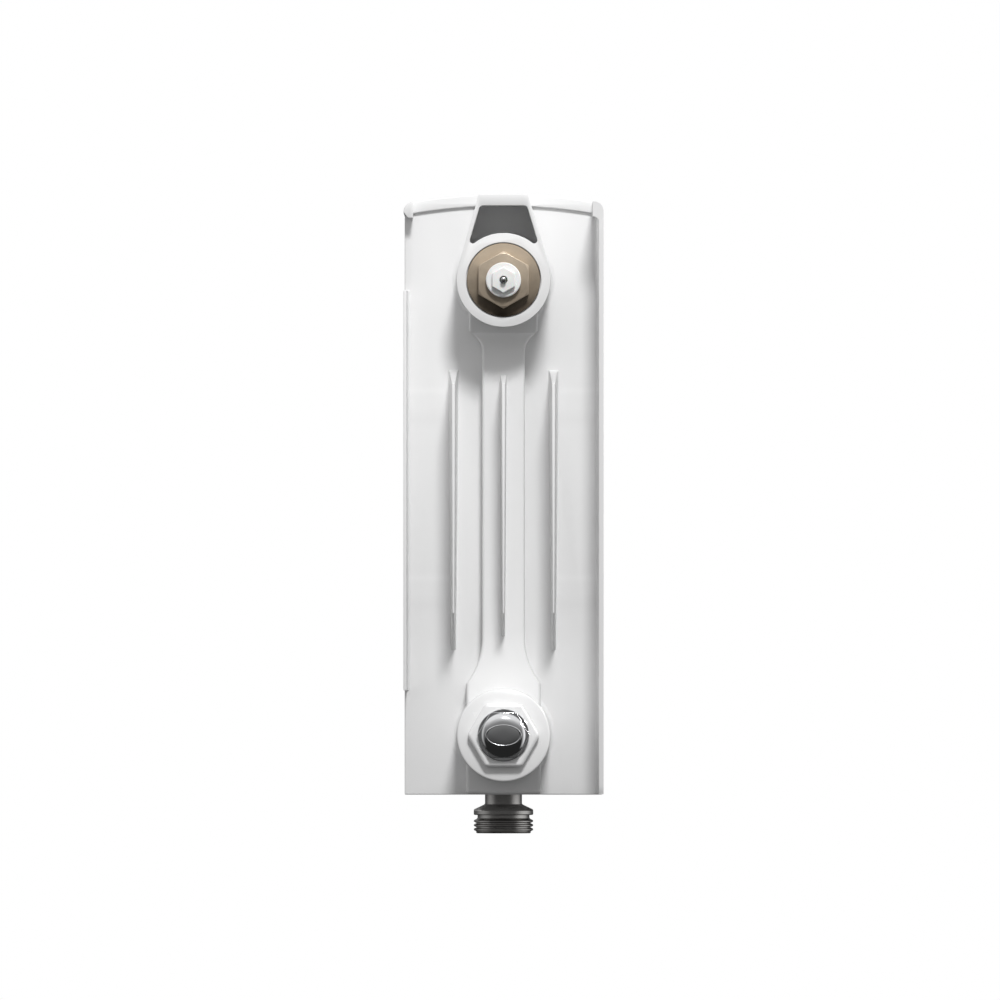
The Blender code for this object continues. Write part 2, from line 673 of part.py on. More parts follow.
def make_air_vent():
    """Manual vent: threaded body, needle screw with an O-ring, and a spout ring that turns."""
    hex_low, hex_top = VENT_HEX
    nose_top = hex_top + 5 * MM
    bore = NEEDLE_RADIUS + GAP
    neck = G_HALF_RADIUS - 0.6 * MM
    profile = [(6 * MM, nose_top), (6 * MM, hex_low + 0.8 * MM), (neck, hex_low + 0.8 * MM),
               (neck, hex_low - 2 * MM), (G_HALF_RADIUS, hex_low - 2 * MM), (G_HALF_RADIUS, -6 * MM),
               (0.8 * MM, -6 * MM), (0.8 * MM, 4 * MM), (bore, 6 * MM), (bore, nose_top)]
    body = turned("vent_body", profile, 20)
    head = hexagon("vent_hex", BLANK_FLATS, hex_low, hex_top, FLAT_UP)
    head_bore = rod("vent_head_bore", bore + RELIEF, (0, 0, hex_low - 0.5 * MM), (0, 0, 30 * MM), 20)
    outlet_height = hex_top + 1.6 * MM
    outlet = rod("vent_outlet", 0.9 * MM, (8 * MM, 0, outlet_height), (0, 0, outlet_height), 12)
    at_port(body, UPPER_PORT, FAR_END, nickel(), [head], [head_bore, outlet])
    seal = o_ring("vent_body_seal", 9.9 * MM, 1.2 * MM, PLUG_TOP - 0.95 * MM)
    at_port(seal, UPPER_PORT, FAR_END, rubber())

    low, high = hex_top + GAP, nose_top - 0.4 * MM
    spout_ring = ring("vent_spout_ring", 9 * MM, 6 * MM + GAP, low, high, 24)
    nozzle_height = (low + high) / 2
    nozzle = rod("vent_nozzle", 1.6 * MM, (7.5 * MM, 0, nozzle_height), (12 * MM, 0, nozzle_height), 12)
    drain = rod("vent_drain", 0.8 * MM, (4 * MM, 0, nozzle_height), (14 * MM, 0, nozzle_height), 12)
    at_port(spout_ring, UPPER_PORT, FAR_END, white_plastic(), [nozzle], [drain])

    head_top, head_low = VENT_TIP, nose_top + VENT_PITCH * 0.5
    groove = NEEDLE_RADIUS - 0.9 * MM
    needle_profile = [(NEEDLE_RADIUS, head_low + 1 * MM), (NEEDLE_RADIUS, 12.5 * MM), (groove, 12.5 * MM),
                      (groove, 10.5 * MM), (NEEDLE_RADIUS, 10.5 * MM), (NEEDLE_RADIUS, 8 * MM),
                      (0.6 * MM, 6.2 * MM), (0, 6.2 * MM)]
    needle = turned("vent_needle", [(0, head_low + 1 * MM), *needle_profile], 12)
    half = VENT_SQUARE / 2
    square = box("needle_square", (-half, -half, head_low), (half, half, head_top))
    slot = box("needle_slot", (-4 * MM, -0.5 * MM, head_top - 1.2 * MM),
               (4 * MM, 0.5 * MM, head_top + 1 * MM))
    at_port(needle, UPPER_PORT, FAR_END, passivated_brass(), [square], [slot])
    at_port(o_ring("vent_needle_seal", 1.95 * MM, 0.5 * MM, 11.5 * MM, 12), UPPER_PORT, FAR_END, rubber())


# ---------------------------------------------------------------- pipe connectors

def make_connectors():
    """Nickelled connectors for a G3/4 union nut, under the first two sections."""
    neck, groove = 8.15 * MM, 6.9 * MM
    thread, undercut, mouth, bore = 13.1 * MM, 11.45 * MM, 8 * MM, 6 * MM
    profile = [(neck - 0.6 * MM, 28 * MM), (neck, 27.4 * MM), (neck, 24 * MM), (groove, 24 * MM),
               (groove, 22 * MM), (neck, 22 * MM), (neck, 12.6 * MM), (thread, 10.2 * MM),
               (thread, 8.1 * MM), (undercut, 8.1 * MM), (undercut, 6.8 * MM), (thread, 6.4 * MM),
               (thread, 1.4 * MM),
               (thread - 1.4 * MM, 0), (mouth, 0), (mouth, 6 * MM), (bore, 8 * MM), (bore, 28 * MM)]
    for number, side in ((1, -1), (2, 1)):
        place = (x_at(PITCH + side * CONNECTION_SPACING / 2), 0.0, 0.0)
        connector = show(turned(f"connector_{number}", profile, 24), nickel())
        seal = show(o_ring(f"connector_seal_{number}", 7.75 * MM, 1.1 * MM, 23 * MM), rubber())
        for piece in (connector, seal):
            piece.location = place
            settle(piece)


make_sections()
make_joint_pieces()
make_flow_separator()
make_valve_body()
make_valve_inside()
make_valve_spring()
make_reducing_plug("lower_reducing_plug", LOWER_PORT, NEAR_END)
make_blank_plug()
make_reducing_plug("upper_reducing_plug", UPPER_PORT, FAR_END)
make_air_vent()
make_blind_plug()
make_connectors()
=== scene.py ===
# %% [markdown]
# # A white sectional radiator with bottom pipe connections and a valve
# The radiator is five die-cast aluminium sections, screwed together by threaded nipples. The valve
# insert sits in the upper corner of one end, and both pipes come up from below. The working model of
# every piece is loaded first, and this script gives it its finished shape and surface. X runs along
# the radiator, -Y is the room side, and everything is in metres.

import json
import math

import bpy
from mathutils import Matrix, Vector


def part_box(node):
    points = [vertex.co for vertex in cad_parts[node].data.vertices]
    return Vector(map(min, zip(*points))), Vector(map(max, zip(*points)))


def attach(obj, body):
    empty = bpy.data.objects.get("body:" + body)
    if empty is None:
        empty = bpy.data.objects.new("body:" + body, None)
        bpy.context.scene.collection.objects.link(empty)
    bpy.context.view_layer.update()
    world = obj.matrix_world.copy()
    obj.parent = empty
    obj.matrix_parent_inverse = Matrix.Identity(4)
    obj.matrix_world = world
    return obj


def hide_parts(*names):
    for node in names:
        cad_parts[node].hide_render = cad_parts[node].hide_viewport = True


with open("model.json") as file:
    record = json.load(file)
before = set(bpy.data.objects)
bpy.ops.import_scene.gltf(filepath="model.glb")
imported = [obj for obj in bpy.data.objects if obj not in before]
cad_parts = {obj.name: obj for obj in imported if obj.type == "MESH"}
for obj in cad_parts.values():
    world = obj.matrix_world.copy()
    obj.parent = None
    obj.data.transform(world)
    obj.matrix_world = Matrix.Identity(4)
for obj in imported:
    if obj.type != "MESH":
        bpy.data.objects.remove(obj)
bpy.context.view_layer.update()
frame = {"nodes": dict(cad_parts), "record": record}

# %% [markdown]
# ## Sizes
# Every place comes from the working model: the collars give the two port axes, the sections give the
# pitch, and the end pieces are placed from their own nodes. Heights above the collar's face are the
# ones a maker would write on the drawing of a plug.

# %% Places read from the model
MM = 0.001


def middle(node):
    low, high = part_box(node)
    return (low + high) / 2


SECTIONS = [name for name in sorted(frame["nodes"]) if name.startswith("section_")]
FRONT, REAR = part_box("section_1")[0].y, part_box("section_1")[1].y
BOTTOM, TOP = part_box("section_1")[0].z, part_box("section_1")[1].z
UPPER_PORT = middle("valve_body").z
LOWER_PORT = middle("blind_plug").z
NEAR_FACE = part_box("section_1")[0].x
FAR_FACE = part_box(SECTIONS[-1])[1].x
COLLAR_HALF = (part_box("section_1")[1].x - NEAR_FACE) / 2
print("ports at", round(LOWER_PORT, 4), "and", round(UPPER_PORT, 4), "m high")
print("ends at", round(NEAR_FACE, 4), "and", round(FAR_FACE, 4))

# %% [markdown]
# ## Camera
# The end of the radiator is seen square on, from far away, so that its round parts stay round and
# nothing leans. A very long lens some twenty metres off does that.

# %% Camera
LENS = 1700.0
VIEW_WIDTH = 439.4 * MM
AIM = Vector((NEAR_FACE, 1.54 * MM, 146.8 * MM))

camera_data = bpy.data.cameras.new("camera")
camera_data.lens = LENS
camera_data.sensor_width = 36.0
camera_distance = VIEW_WIDTH * LENS / camera_data.sensor_width
camera_data.clip_end = 3 * camera_distance
camera = bpy.data.objects.new("camera", camera_data)
bpy.context.collection.objects.link(camera)
camera.location = AIM - Vector((camera_distance, 0, 0))
camera.rotation_euler = (math.radians(90), 0, math.radians(-90))
bpy.context.scene.camera = camera
print("camera", round(camera_distance, 2), "m away")

# %% [markdown]
# ## Light and floor
# One soft lamp stands high over the camera's shoulder, a little to the room side. Its shadows fall
# almost straight down and have a soft edge. A weaker one lights the front panels from the room, and
# the panels keep it off the end. The rest is a pale room: bright above and dim below, so that chrome
# and brass get a dark lower half, with a window on each side that only shiny pieces mirror. The floor
# is a hand's width under the pipes, where a hanging radiator has it.

# %% Lamps
LAMP_DISTANCE = 5.0
LAMP_SIZE = 0.9
FLOOR_SIZE = 6.0
FLOOR_DROP = 150 * MM


def hang_lamp(name, height, side, energy):
    """A round soft lamp, at a height angle, and at a side angle from the valve end towards the room."""
    height, side = math.radians(height), math.radians(side)
    level = math.cos(height)
    towards = Vector((-level * math.cos(side), -level * math.sin(side), math.sin(height)))
    lamp_data = bpy.data.lights.new(name, "AREA")
    lamp_data.shape = "DISK"
    lamp_data.size = LAMP_SIZE
    lamp_data.energy = energy
    lamp = bpy.data.objects.new(name, lamp_data)
    bpy.context.collection.objects.link(lamp)
    lamp.location = Vector((0, 0, TOP / 2)) + towards * LAMP_DISTANCE
    lamp.rotation_euler = towards.to_track_quat("Z", "Y").to_euler()


hang_lamp("main_lamp", 38.5, 6, 166)
hang_lamp("room_lamp", 30, 94, 70)
print("lamps", LAMP_DISTANCE, "m away")

# %% Room
room = bpy.data.worlds.new("pale_room")
bpy.context.scene.world = room
room.use_nodes = True
room_nodes, room_links = room.node_tree.nodes, room.node_tree.links
room_nodes.clear()
where = room_nodes.new("ShaderNodeTexCoord")
split = room_nodes.new("ShaderNodeSeparateXYZ")
seen = room_nodes.new("ShaderNodeLightPath")
room_links.new(where.outputs["Generated"], split.inputs[0])


def along(axis):
    """The ray's direction along an axis, from 0 at the negative end to 1 at the positive end."""
    direction = room_nodes.new("ShaderNodeMapRange")
    direction.inputs["From Min"].default_value = -1.0
    room_links.new(split.outputs[axis], direction.inputs["Value"])
    return direction


height, sideways = along("Z"), along("Y")


def backdrop(stops, direction=height):
    """A background whose grey follows the ray's direction, such as from below (0) to above (1)."""
    ramp = room_nodes.new("ShaderNodeValToRGB")
    while len(ramp.color_ramp.elements) < len(stops):
        ramp.color_ramp.elements.new(0.5)
    for element, (position, grey) in zip(ramp.color_ramp.elements, stops):
        element.position, element.color = position, (grey, grey, grey, 1)
    screen = room_nodes.new("ShaderNodeBackground")
    room_links.new(direction.outputs[0], ramp.inputs[0])
    room_links.new(ramp.outputs[0], screen.inputs["Color"])
    return screen


def choose(condition, otherwise, chosen):
    """Uses one background for the rays that meet a condition, and another for the rest."""
    choice = room_nodes.new("ShaderNodeMixShader")
    room_links.new(seen.outputs[condition], choice.inputs[0])
    room_links.new(otherwise.outputs[0], choice.inputs[1])
    room_links.new(chosen.outputs[0], choice.inputs[2])
    return choice


around = backdrop([(0.42, 0.15), (0.62, 0.64)])
mirrored = backdrop([(0.38, 0.02), (0.5, 0.11), (0.66, 0.28), (0.82, 0.85), (1.0, 1.0)])
windows = backdrop([(0.0, 0.9), (0.12, 0.0), (0.9, 0.0), (1.0, 0.4)], sideways)
lit_room = room_nodes.new("ShaderNodeAddShader")
room_links.new(mirrored.outputs[0], lit_room.inputs[0])
room_links.new(windows.outputs[0], lit_room.inputs[1])
plain = backdrop([(0.0, 1.0), (1.0, 1.0)])
output = room_nodes.new("ShaderNodeOutputWorld")
surroundings = choose("Is Camera Ray", choose("Is Glossy Ray", around, lit_room), plain)
room_links.new(surroundings.outputs[0], output.inputs[0])
bpy.context.scene.view_settings.view_transform = "Standard"
print("room of", len(room_nodes), "nodes")

# %% Floor
bpy.ops.object.select_all(action="DESELECT")
bpy.ops.mesh.primitive_plane_add(size=FLOOR_SIZE, location=(0, 0, -FLOOR_DROP))
floor = bpy.context.active_object
floor.name = "floor"
floor.visible_glossy = floor.visible_diffuse = False
pale_floor = bpy.data.materials.new("pale_floor")
pale_floor.use_nodes = True
floor_nodes, floor_links = pale_floor.node_tree.nodes, pale_floor.node_tree.links
speckle = floor_nodes.new("ShaderNodeTexNoise")
speckle.inputs["Scale"].default_value = 6
greys = floor_nodes.new("ShaderNodeValToRGB")
for element, grey in zip(greys.color_ramp.elements, (0.80, 0.84)):
    element.color = (grey, grey, grey, 1)
where_on_floor = floor_nodes.new("ShaderNodeTexCoord")
floor_links.new(where_on_floor.outputs["Object"], speckle.inputs["Vector"])
floor_links.new(speckle.outputs["Fac"], greys.inputs[0])
floor_links.new(greys.outputs[0], floor_nodes["Principled BSDF"].inputs["Base Color"])
floor.data.materials.append(pale_floor)
print("floor", FLOOR_DROP, "m below")

# %% [markdown]
# ## Tools of the workshop
# A few habits repeat on every piece, so they become helpers. Each one uses the same operators as a
# person would: add a primitive, go into edit mode, extrude, scale, bevel, and come out again.

# %% Helpers for making a piece


def deselect():
    if bpy.context.mode != "OBJECT":
        bpy.ops.object.mode_set(mode="OBJECT")
    bpy.ops.object.select_all(action="DESELECT")


def named(name):
    piece = bpy.context.active_object
    piece.name = piece.data.name = name
    return piece


def activate(piece):
    deselect()
    piece.select_set(True)
    bpy.context.view_layer.objects.active = piece


def settle(piece):
    """Moves a piece's place, turn and size into its mesh."""
    activate(piece)
    bpy.ops.object.transform_apply(location=True, rotation=True, scale=True)


def edit_all():
    bpy.ops.object.mode_set(mode="EDIT")
    bpy.ops.mesh.select_all(action="SELECT")


def close_up(threshold=0.001 * MM):
    """In edit mode: merges doubles, caps open rings, points the faces out, and returns to object mode."""
    bpy.ops.mesh.select_all(action="SELECT")
    bpy.ops.mesh.remove_doubles(threshold=threshold)
    bpy.ops.mesh.fill_holes(sides=0)
    bpy.ops.mesh.select_all(action="SELECT")
    bpy.ops.mesh.normals_make_consistent(inside=False)
    bpy.ops.object.mode_set(mode="OBJECT")


def apply(piece, kind, **settings):
    """Adds a modifier with its settings and applies it."""
    activate(piece)
    step = piece.modifiers.new(kind.lower(), kind)
    for key, value in settings.items():
        setattr(step, key, value)
    bpy.ops.object.modifier_apply(modifier=step.name)
    return piece


def round_edges(piece, width, segments=3, angle=40):
    """Bevels every edge that is sharper than the angle."""
    return apply(piece, "BEVEL", width=width, segments=segments, limit_method="ANGLE",
                 angle_limit=math.radians(angle), use_clamp_overlap=True)


def unite(piece, *others):
    """Unites solids into one closed solid. The others are used up."""
    for other in others:
        apply(piece, "BOOLEAN", operation="UNION", solver="EXACT", object=other)
        bpy.data.objects.remove(other, do_unlink=True)
    return piece


def cut(piece, *others):
    """Cuts the other solids out of the piece, and removes them."""
    for other in others:
        apply(piece, "BOOLEAN", operation="DIFFERENCE", solver="EXACT", object=other)
        bpy.data.objects.remove(other, do_unlink=True)
    return piece


def copy_of(piece, name):
    """A copy with a mesh of its own."""
    twin = piece.copy()
    twin.data = piece.data.copy()
    twin.name = twin.data.name = name
    bpy.context.collection.objects.link(twin)
    return twin


def melt(name, *solids):
    """Puts solids into one mesh, where they overlap. The solids are used up."""
    deselect()
    for solid in solids:
        solid.select_set(True)
    bpy.context.view_layer.objects.active = solids[0]
    bpy.ops.object.join()
    return named(name)


def smooth(piece, angle=32):
    """Shades the piece smooth, but keeps every edge sharper than the angle crisp."""
    activate(piece)
    bpy.ops.object.shade_smooth_by_angle(angle=math.radians(angle))
    return piece


# %% Helpers for the shapes that repeat


def lathe(name, outline, sides=96):
    """Turns (radius, height) points about Z: a circle is extruded and scaled from ring to ring."""
    deselect()
    radius, start = outline[0]
    bpy.ops.mesh.primitive_circle_add(vertices=sides, radius=radius, location=(0, 0, start))
    piece = named(name)
    settle(piece)
    edit_all()
    for (old, low), (new, high) in zip(outline, outline[1:]):
        bpy.ops.mesh.extrude_region_move(TRANSFORM_OT_translate={"value": (0, 0, high - low)})
        bpy.ops.transform.resize(value=(new / old, new / old, 1), center_override=(0, 0, high))
    close_up()
    return piece


def draw(name, points, depth):
    """Draws an outline point by point, fills it, and extrudes the face by a depth vector."""
    points = [Vector(point) for point in points]
    deselect()
    bpy.ops.mesh.primitive_plane_add(size=MM, location=points[0])
    piece = named(name)
    settle(piece)
    edit_all()
    bpy.ops.mesh.merge(type="CENTER")
    for here, there in zip(points, points[1:]):
        bpy.ops.mesh.extrude_vertices_move(TRANSFORM_OT_translate={"value": there - here})
    bpy.ops.mesh.select_all(action="SELECT")
    bpy.ops.mesh.edge_face_add()
    bpy.ops.mesh.extrude_region_move(TRANSFORM_OT_translate={"value": depth})
    close_up()
    return piece


def block(name, low, high):
    """A box between two corners."""
    low, high = Vector(low), Vector(high)
    deselect()
    bpy.ops.mesh.primitive_cube_add(size=1, location=(low + high) / 2, scale=high - low)
    piece = named(name)
    settle(piece)
    return piece


def bar(name, radius, start, end, sides=64):
    """A round bar from one point to another, mostly used to bore holes."""
    start, end = Vector(start), Vector(end)
    deselect()
    bpy.ops.mesh.primitive_cylinder_add(vertices=sides, radius=radius, depth=(end - start).length,
                                        location=(start + end) / 2,
                                        rotation=(end - start).to_track_quat("Z", "Y").to_euler())
    piece = named(name)
    settle(piece)
    return piece


def arc(centre, radius, start, end, steps):
    """Points (across, up) on an arc, with angles in degrees from across towards up."""
    angles = [math.radians(start + (end - start) * step / steps) for step in range(steps + 1)]
    return [(centre[0] + radius * math.cos(a), centre[1] + radius * math.sin(a)) for a in angles]


def standing(points, x=0.0):
    """Turns (y, z) points into places on an upright plane."""
    return [(x, y, z) for y, z in points]


# %% [markdown]
# ## The casting
# A section is one casting: a thin web across the middle, a front panel that hooks back at its top, a
# narrow plate on the wall side, an arched rim, two collectors, a water column between them and three
# fins on each side of the web. Drawing each of these as its own solid and joining them is the way a
# pattern maker builds it, and it keeps every thickness and draft a plain number.
#
# The arched top belongs to one big circle, so its height over any depth is a formula.

# %% The arch and the corner
ARCH_RADIUS = 240 * MM
CORNER = 4.4 * MM
RIM_HEIGHT, RIM_HALF = 5 * MM, 3.2 * MM
WEB_HALF = 1.1 * MM
HAIR = 0.08 * MM
DEPTH_HALF = (REAR - FRONT) / 2


def arch_height(y, drop=0.0):
    return TOP - ARCH_RADIUS + math.sqrt((ARCH_RADIUS - drop) ** 2 - y * y)


def arch(start, end, steps, drop=0.0):
    ys = [start + (end - start) * step / steps for step in range(steps + 1)]
    return [(y, arch_height(y, drop)) for y in ys]


def corner(side, drop=0.0, steps=8):
    """The rounded upper corner on the room side (-1) or the wall side (1), from outside to inside."""
    radius = CORNER - drop
    centre = (side * (DEPTH_HALF - CORNER), arch_height(DEPTH_HALF - CORNER) - CORNER)
    points = arc(centre, radius, 0, 80, steps)
    return points if side > 0 else [(2 * centre[0] - y, z) for y, z in points]


def make_web():
    edge = DEPTH_HALF - 0.5 * MM
    top = arch(-edge + CORNER, edge - CORNER, 24, RIM_HEIGHT / 2)
    outline = [(-edge, BOTTOM), (-edge, top[0][1] - CORNER), *top, (edge, top[0][1] - CORNER), (edge, BOTTOM)]
    web = draw("web", standing(outline, -WEB_HALF), (2 * WEB_HALF, 0, 0))
    return round_edges(web, 0.5 * MM)


def make_rim():
    """The rim lies a hair below the collector and the hooks it runs through, so no two faces coincide."""
    foot = arch_height(DEPTH_HALF - CORNER, RIM_HEIGHT) - 0.6 * MM
    front, rear = corner(-1, HAIR), corner(1, HAIR)
    reach = DEPTH_HALF - 0.8 * CORNER
    crown = arch(front[-1][0] + 2 * MM, rear[-1][0] - 2 * MM, 30, HAIR)
    outline = [(HAIR - DEPTH_HALF, foot), *front, *crown, *rear[::-1], (DEPTH_HALF - HAIR, foot),
               *arch(reach, -reach, 30, RIM_HEIGHT)]
    rim = draw("rim", standing(outline, -RIM_HALF), (2 * RIM_HALF, 0, 0))
    return round_edges(rim, 0.5 * MM)


web, rim = make_web(), make_rim()
print("web", len(web.data.polygons), "faces, rim", len(rim.data.polygons))

# %% [markdown]
# ### Upper collector with its keyhole arms
# The collar is a circle. Two straight arms leave it as tangents, lean in by sixteen degrees and run up
# to the arch, so the end of the casting reads as a keyhole. The space between the arms is a pocket
# that the web closes halfway.

# %% Collectors
COLLAR = 20.65 * MM
ARM = 1.5 * MM
LEAN = math.radians(16)


def arm_y(z, inwards=0.0):
    """Half the width between the arms' faces at a height: a line that touches the collar's circle."""
    return (COLLAR - inwards - (z - UPPER_PORT) * math.sin(LEAN)) / math.cos(LEAN)


def make_upper_collector():
    lean = math.degrees(LEAN)
    reach = arm_y(TOP - 1 * MM)
    outline = arc((0, UPPER_PORT), COLLAR, 180 - lean, 360 + lean, 64) + arch(reach, -reach, 10)
    body = draw("upper_collector", standing(outline, -COLLAR_HALF), (2 * COLLAR_HALF, 0, 0))
    sill = TOP - RIM_HEIGHT
    head, fillet = arm_y(sill, ARM), 2 * MM
    foot = 1.4 * MM
    turn = math.acos((COLLAR - ARM - foot) / (COLLAR + foot)) + LEAN
    centre = ((COLLAR + foot) * math.cos(turn), UPPER_PORT + (COLLAR + foot) * math.sin(turn))
    low_right = arc(centre, foot, math.degrees(turn) - 180, lean, 8)
    right = arc((head - fillet + 0.3 * MM, sill - fillet), fillet, 8, 90, 6)
    window = low_right + right + [(-y, z) for y, z in reversed(low_right + right)]
    window += arc((0, UPPER_PORT), COLLAR, 180 - math.degrees(turn), math.degrees(turn), 20)[1:-1]
    inside_web = WEB_HALF - 0.3 * MM
    opening = draw("window", standing(window, -COLLAR_HALF - MM), (COLLAR_HALF + MM - inside_web, 0, 0))
    far_opening = copy_of(opening, "far_window")
    far_opening.location.x = COLLAR_HALF + MM + inside_web
    settle(far_opening)
    cut(body, opening, far_opening)
    return round_edges(body, 0.35 * MM, 2)


def make_lower_collector():
    tube = bar("lower_collector", COLLAR, (-COLLAR_HALF, 0, LOWER_PORT), (COLLAR_HALF, 0, LOWER_PORT), 80)
    return round_edges(tube, 0.35 * MM, 2)


upper_collector, lower_collector = make_upper_collector(), make_lower_collector()
print("collectors", len(upper_collector.data.polygons), len(lower_collector.data.polygons))

# %% [markdown]
# ### Panels
# The front panel is thickest at the web, where a fillet carries its weight, and thins to two
# millimetres at its long edges. That is the draft that lets the casting leave its mould. Its plan is
# drawn once and extruded upwards. The hook at the top is a second outline, drawn from the side.

# %% Front panel, rear plate and lip
PANEL_HALF = 38.4 * MM
PANEL_EDGE = 2 * MM
HOOK = 4.8 * MM
PLATE_FOOT, PLATE_LENGTH = 63 * MM, 176 * MM


def panel_plan(half, face, edge_thickness, root_thickness, fillet, inwards):
    """Plan of a panel about the web: face is its outer Y, and inwards is 1 or -1 along Y."""
    inner = [(half, face + inwards * edge_thickness)]
    centre = (WEB_HALF + fillet, face + inwards * (root_thickness + fillet))
    sweep = arc((0, 0), fillet, -90, -180, 8)
    inner += [(centre[0] + x, centre[1] + inwards * y) for x, y in sweep]
    inner[-1] = (WEB_HALF - 0.4 * MM, inner[-1][1])
    right = [(half, face), *inner]
    return right + [(-x, y) for x, y in reversed(right)]


def make_front_panel():
    plan = panel_plan(PANEL_HALF, FRONT, PANEL_EDGE, 2.9 * MM, 1.2 * MM, 1)
    low, high = BOTTOM + 0.4 * MM, arch_height(DEPTH_HALF - CORNER) - CORNER
    panel = draw("front_panel", [(x, y, low) for x, y in plan], (0, 0, high - low))
    tip = FRONT + HOOK
    foot = arch_height(tip, RIM_HEIGHT) - 1.5 * MM
    hook = [(FRONT, high - 2 * MM), *corner(-1), (tip, arch_height(tip)), (tip, foot)]
    hook += arc((FRONT + PANEL_EDGE + 2.6 * MM, foot - 2.6 * MM), 2.6 * MM, 95, 180, 6)
    hook += [(FRONT + PANEL_EDGE, high - 8 * MM), (FRONT + 1 * MM, high - 8 * MM)]
    cap = draw("hook", standing(hook, -PANEL_HALF), (2 * PANEL_HALF, 0, 0))
    unite(panel, cap)
    for side in (-1, 1):
        blunt = draw("blunt", [(side * (PANEL_HALF + MM), FRONT - MM, BOTTOM - MM),
                               (side * (PANEL_HALF - 2.2 * MM), FRONT - MM, BOTTOM - MM),
                               (side * (PANEL_HALF - 1.2 * MM), FRONT - MM, BOTTOM + 1.6 * MM),
                               (side * (PANEL_HALF + MM), FRONT - MM, BOTTOM + 6.5 * MM)], (0, 9 * MM, 0))
        cut(panel, blunt)
    return round_edges(panel, 0.45 * MM, 3, 50)


def make_rear_plate():
    plan = panel_plan(22 * MM, REAR, 1.4 * MM, 1.7 * MM, 1.6 * MM, -1)
    plate = draw("rear_plate", [(x, y, PLATE_FOOT) for x, y in plan], (0, 0, PLATE_LENGTH))
    return round_edges(plate, 0.35 * MM, 2, 50)


def make_rear_lip():
    tip = REAR - 4.2 * MM
    foot = arch_height(tip, RIM_HEIGHT) - 2 * MM
    outline = [(REAR, foot + 2.5 * MM), *corner(1), (tip, arch_height(tip)), (tip, foot),
               (REAR - 2 * MM, foot)]
    lip = draw("rear_lip", standing(outline, -12 * MM), (24 * MM, 0, 0))
    return round_edges(lip, 0.35 * MM, 2)


front_panel, rear_plate, rear_lip = make_front_panel(), make_rear_plate(), make_rear_lip()
print("front panel", len(front_panel.data.polygons), "faces")

# %% [markdown]
# ### Column, bosses and fins
# The water column is a rounded rectangle that flares into a boss at each collector. It grows from the
# bottom like a tower: a rectangle is extruded and resized from level to level. The flares are drawn
# as coves, because molten metal doesn't fill a sharp corner well. A fin is the same kind of tower
# laid on its side: it flares at its root, and it leans in on all four sides towards its tip.

# %% Towers


def tower(name, levels):
    """Stacks rectangles (half x, half y, centre x, height) about Z and closes them into a solid."""
    half_x, half_y, centre, start = levels[0]
    deselect()
    bpy.ops.mesh.primitive_plane_add(size=1, location=(centre, 0, start))
    piece = named(name)
    piece.scale = (2 * half_x, 2 * half_y, 1)
    settle(piece)
    edit_all()
    for low, high in zip(levels, levels[1:]):
        shift = (high[2] - low[2], 0, high[3] - low[3])
        bpy.ops.mesh.extrude_region_move(TRANSFORM_OT_translate={"value": shift})
        growth = (high[0] / low[0], high[1] / low[1], 1)
        bpy.ops.transform.resize(value=growth, center_override=(high[2], 0, high[3]))
    close_up()
    return piece


def cove(thin, wide, low, high, steepest, steps=8):
    """Levels from a thin rectangle up to a wide one, starting upright and flaring out."""
    levels = []
    last = math.radians(steepest)
    for step in range(steps + 1):
        angle = last * step / steps
        out = (1 - math.cos(angle)) / (1 - math.cos(last))
        up = math.sin(angle) / math.sin(last)
        levels.append((thin[0] + (wide[0] - thin[0]) * out, thin[1] + (wide[1] - thin[1]) * out, 0,
                       low + (high - low) * up))
    return levels


COLUMN = (11.5 * MM, 9.4 * MM)
UPPER_BOSS = (15.3 * MM, 15.15 * MM)
LOWER_BOSS = (16 * MM, 16.35 * MM)
KEEL_HEIGHT = 140 * MM


def make_column():
    """Below, the column widens in a cove, but it thickens slowly, over a longer way."""
    foot, taper_start = 66 * MM, 112 * MM
    lower = []
    for _, half_y, centre, depth in reversed(cove(COLUMN, LOWER_BOSS, -86 * MM, -foot, 24)):
        share = (taper_start + depth) / (taper_start - foot)
        lower.append((COLUMN[0] + (LOWER_BOSS[0] - COLUMN[0]) * share, half_y, centre, -depth))
    upper = cove(COLUMN, UPPER_BOSS, 212 * MM, 220.5 * MM, 68)
    levels = [(*LOWER_BOSS, 0, BOTTOM + 0.5 * MM), *lower, (*COLUMN, 0, taper_start), *upper,
              (*UPPER_BOSS, 0, UPPER_PORT - 4 * MM)]
    column = tower("column", levels)
    round_edges(column, 3.6 * MM, 8, 60)
    return round_edges(column, 0.8 * MM, 3, 15)


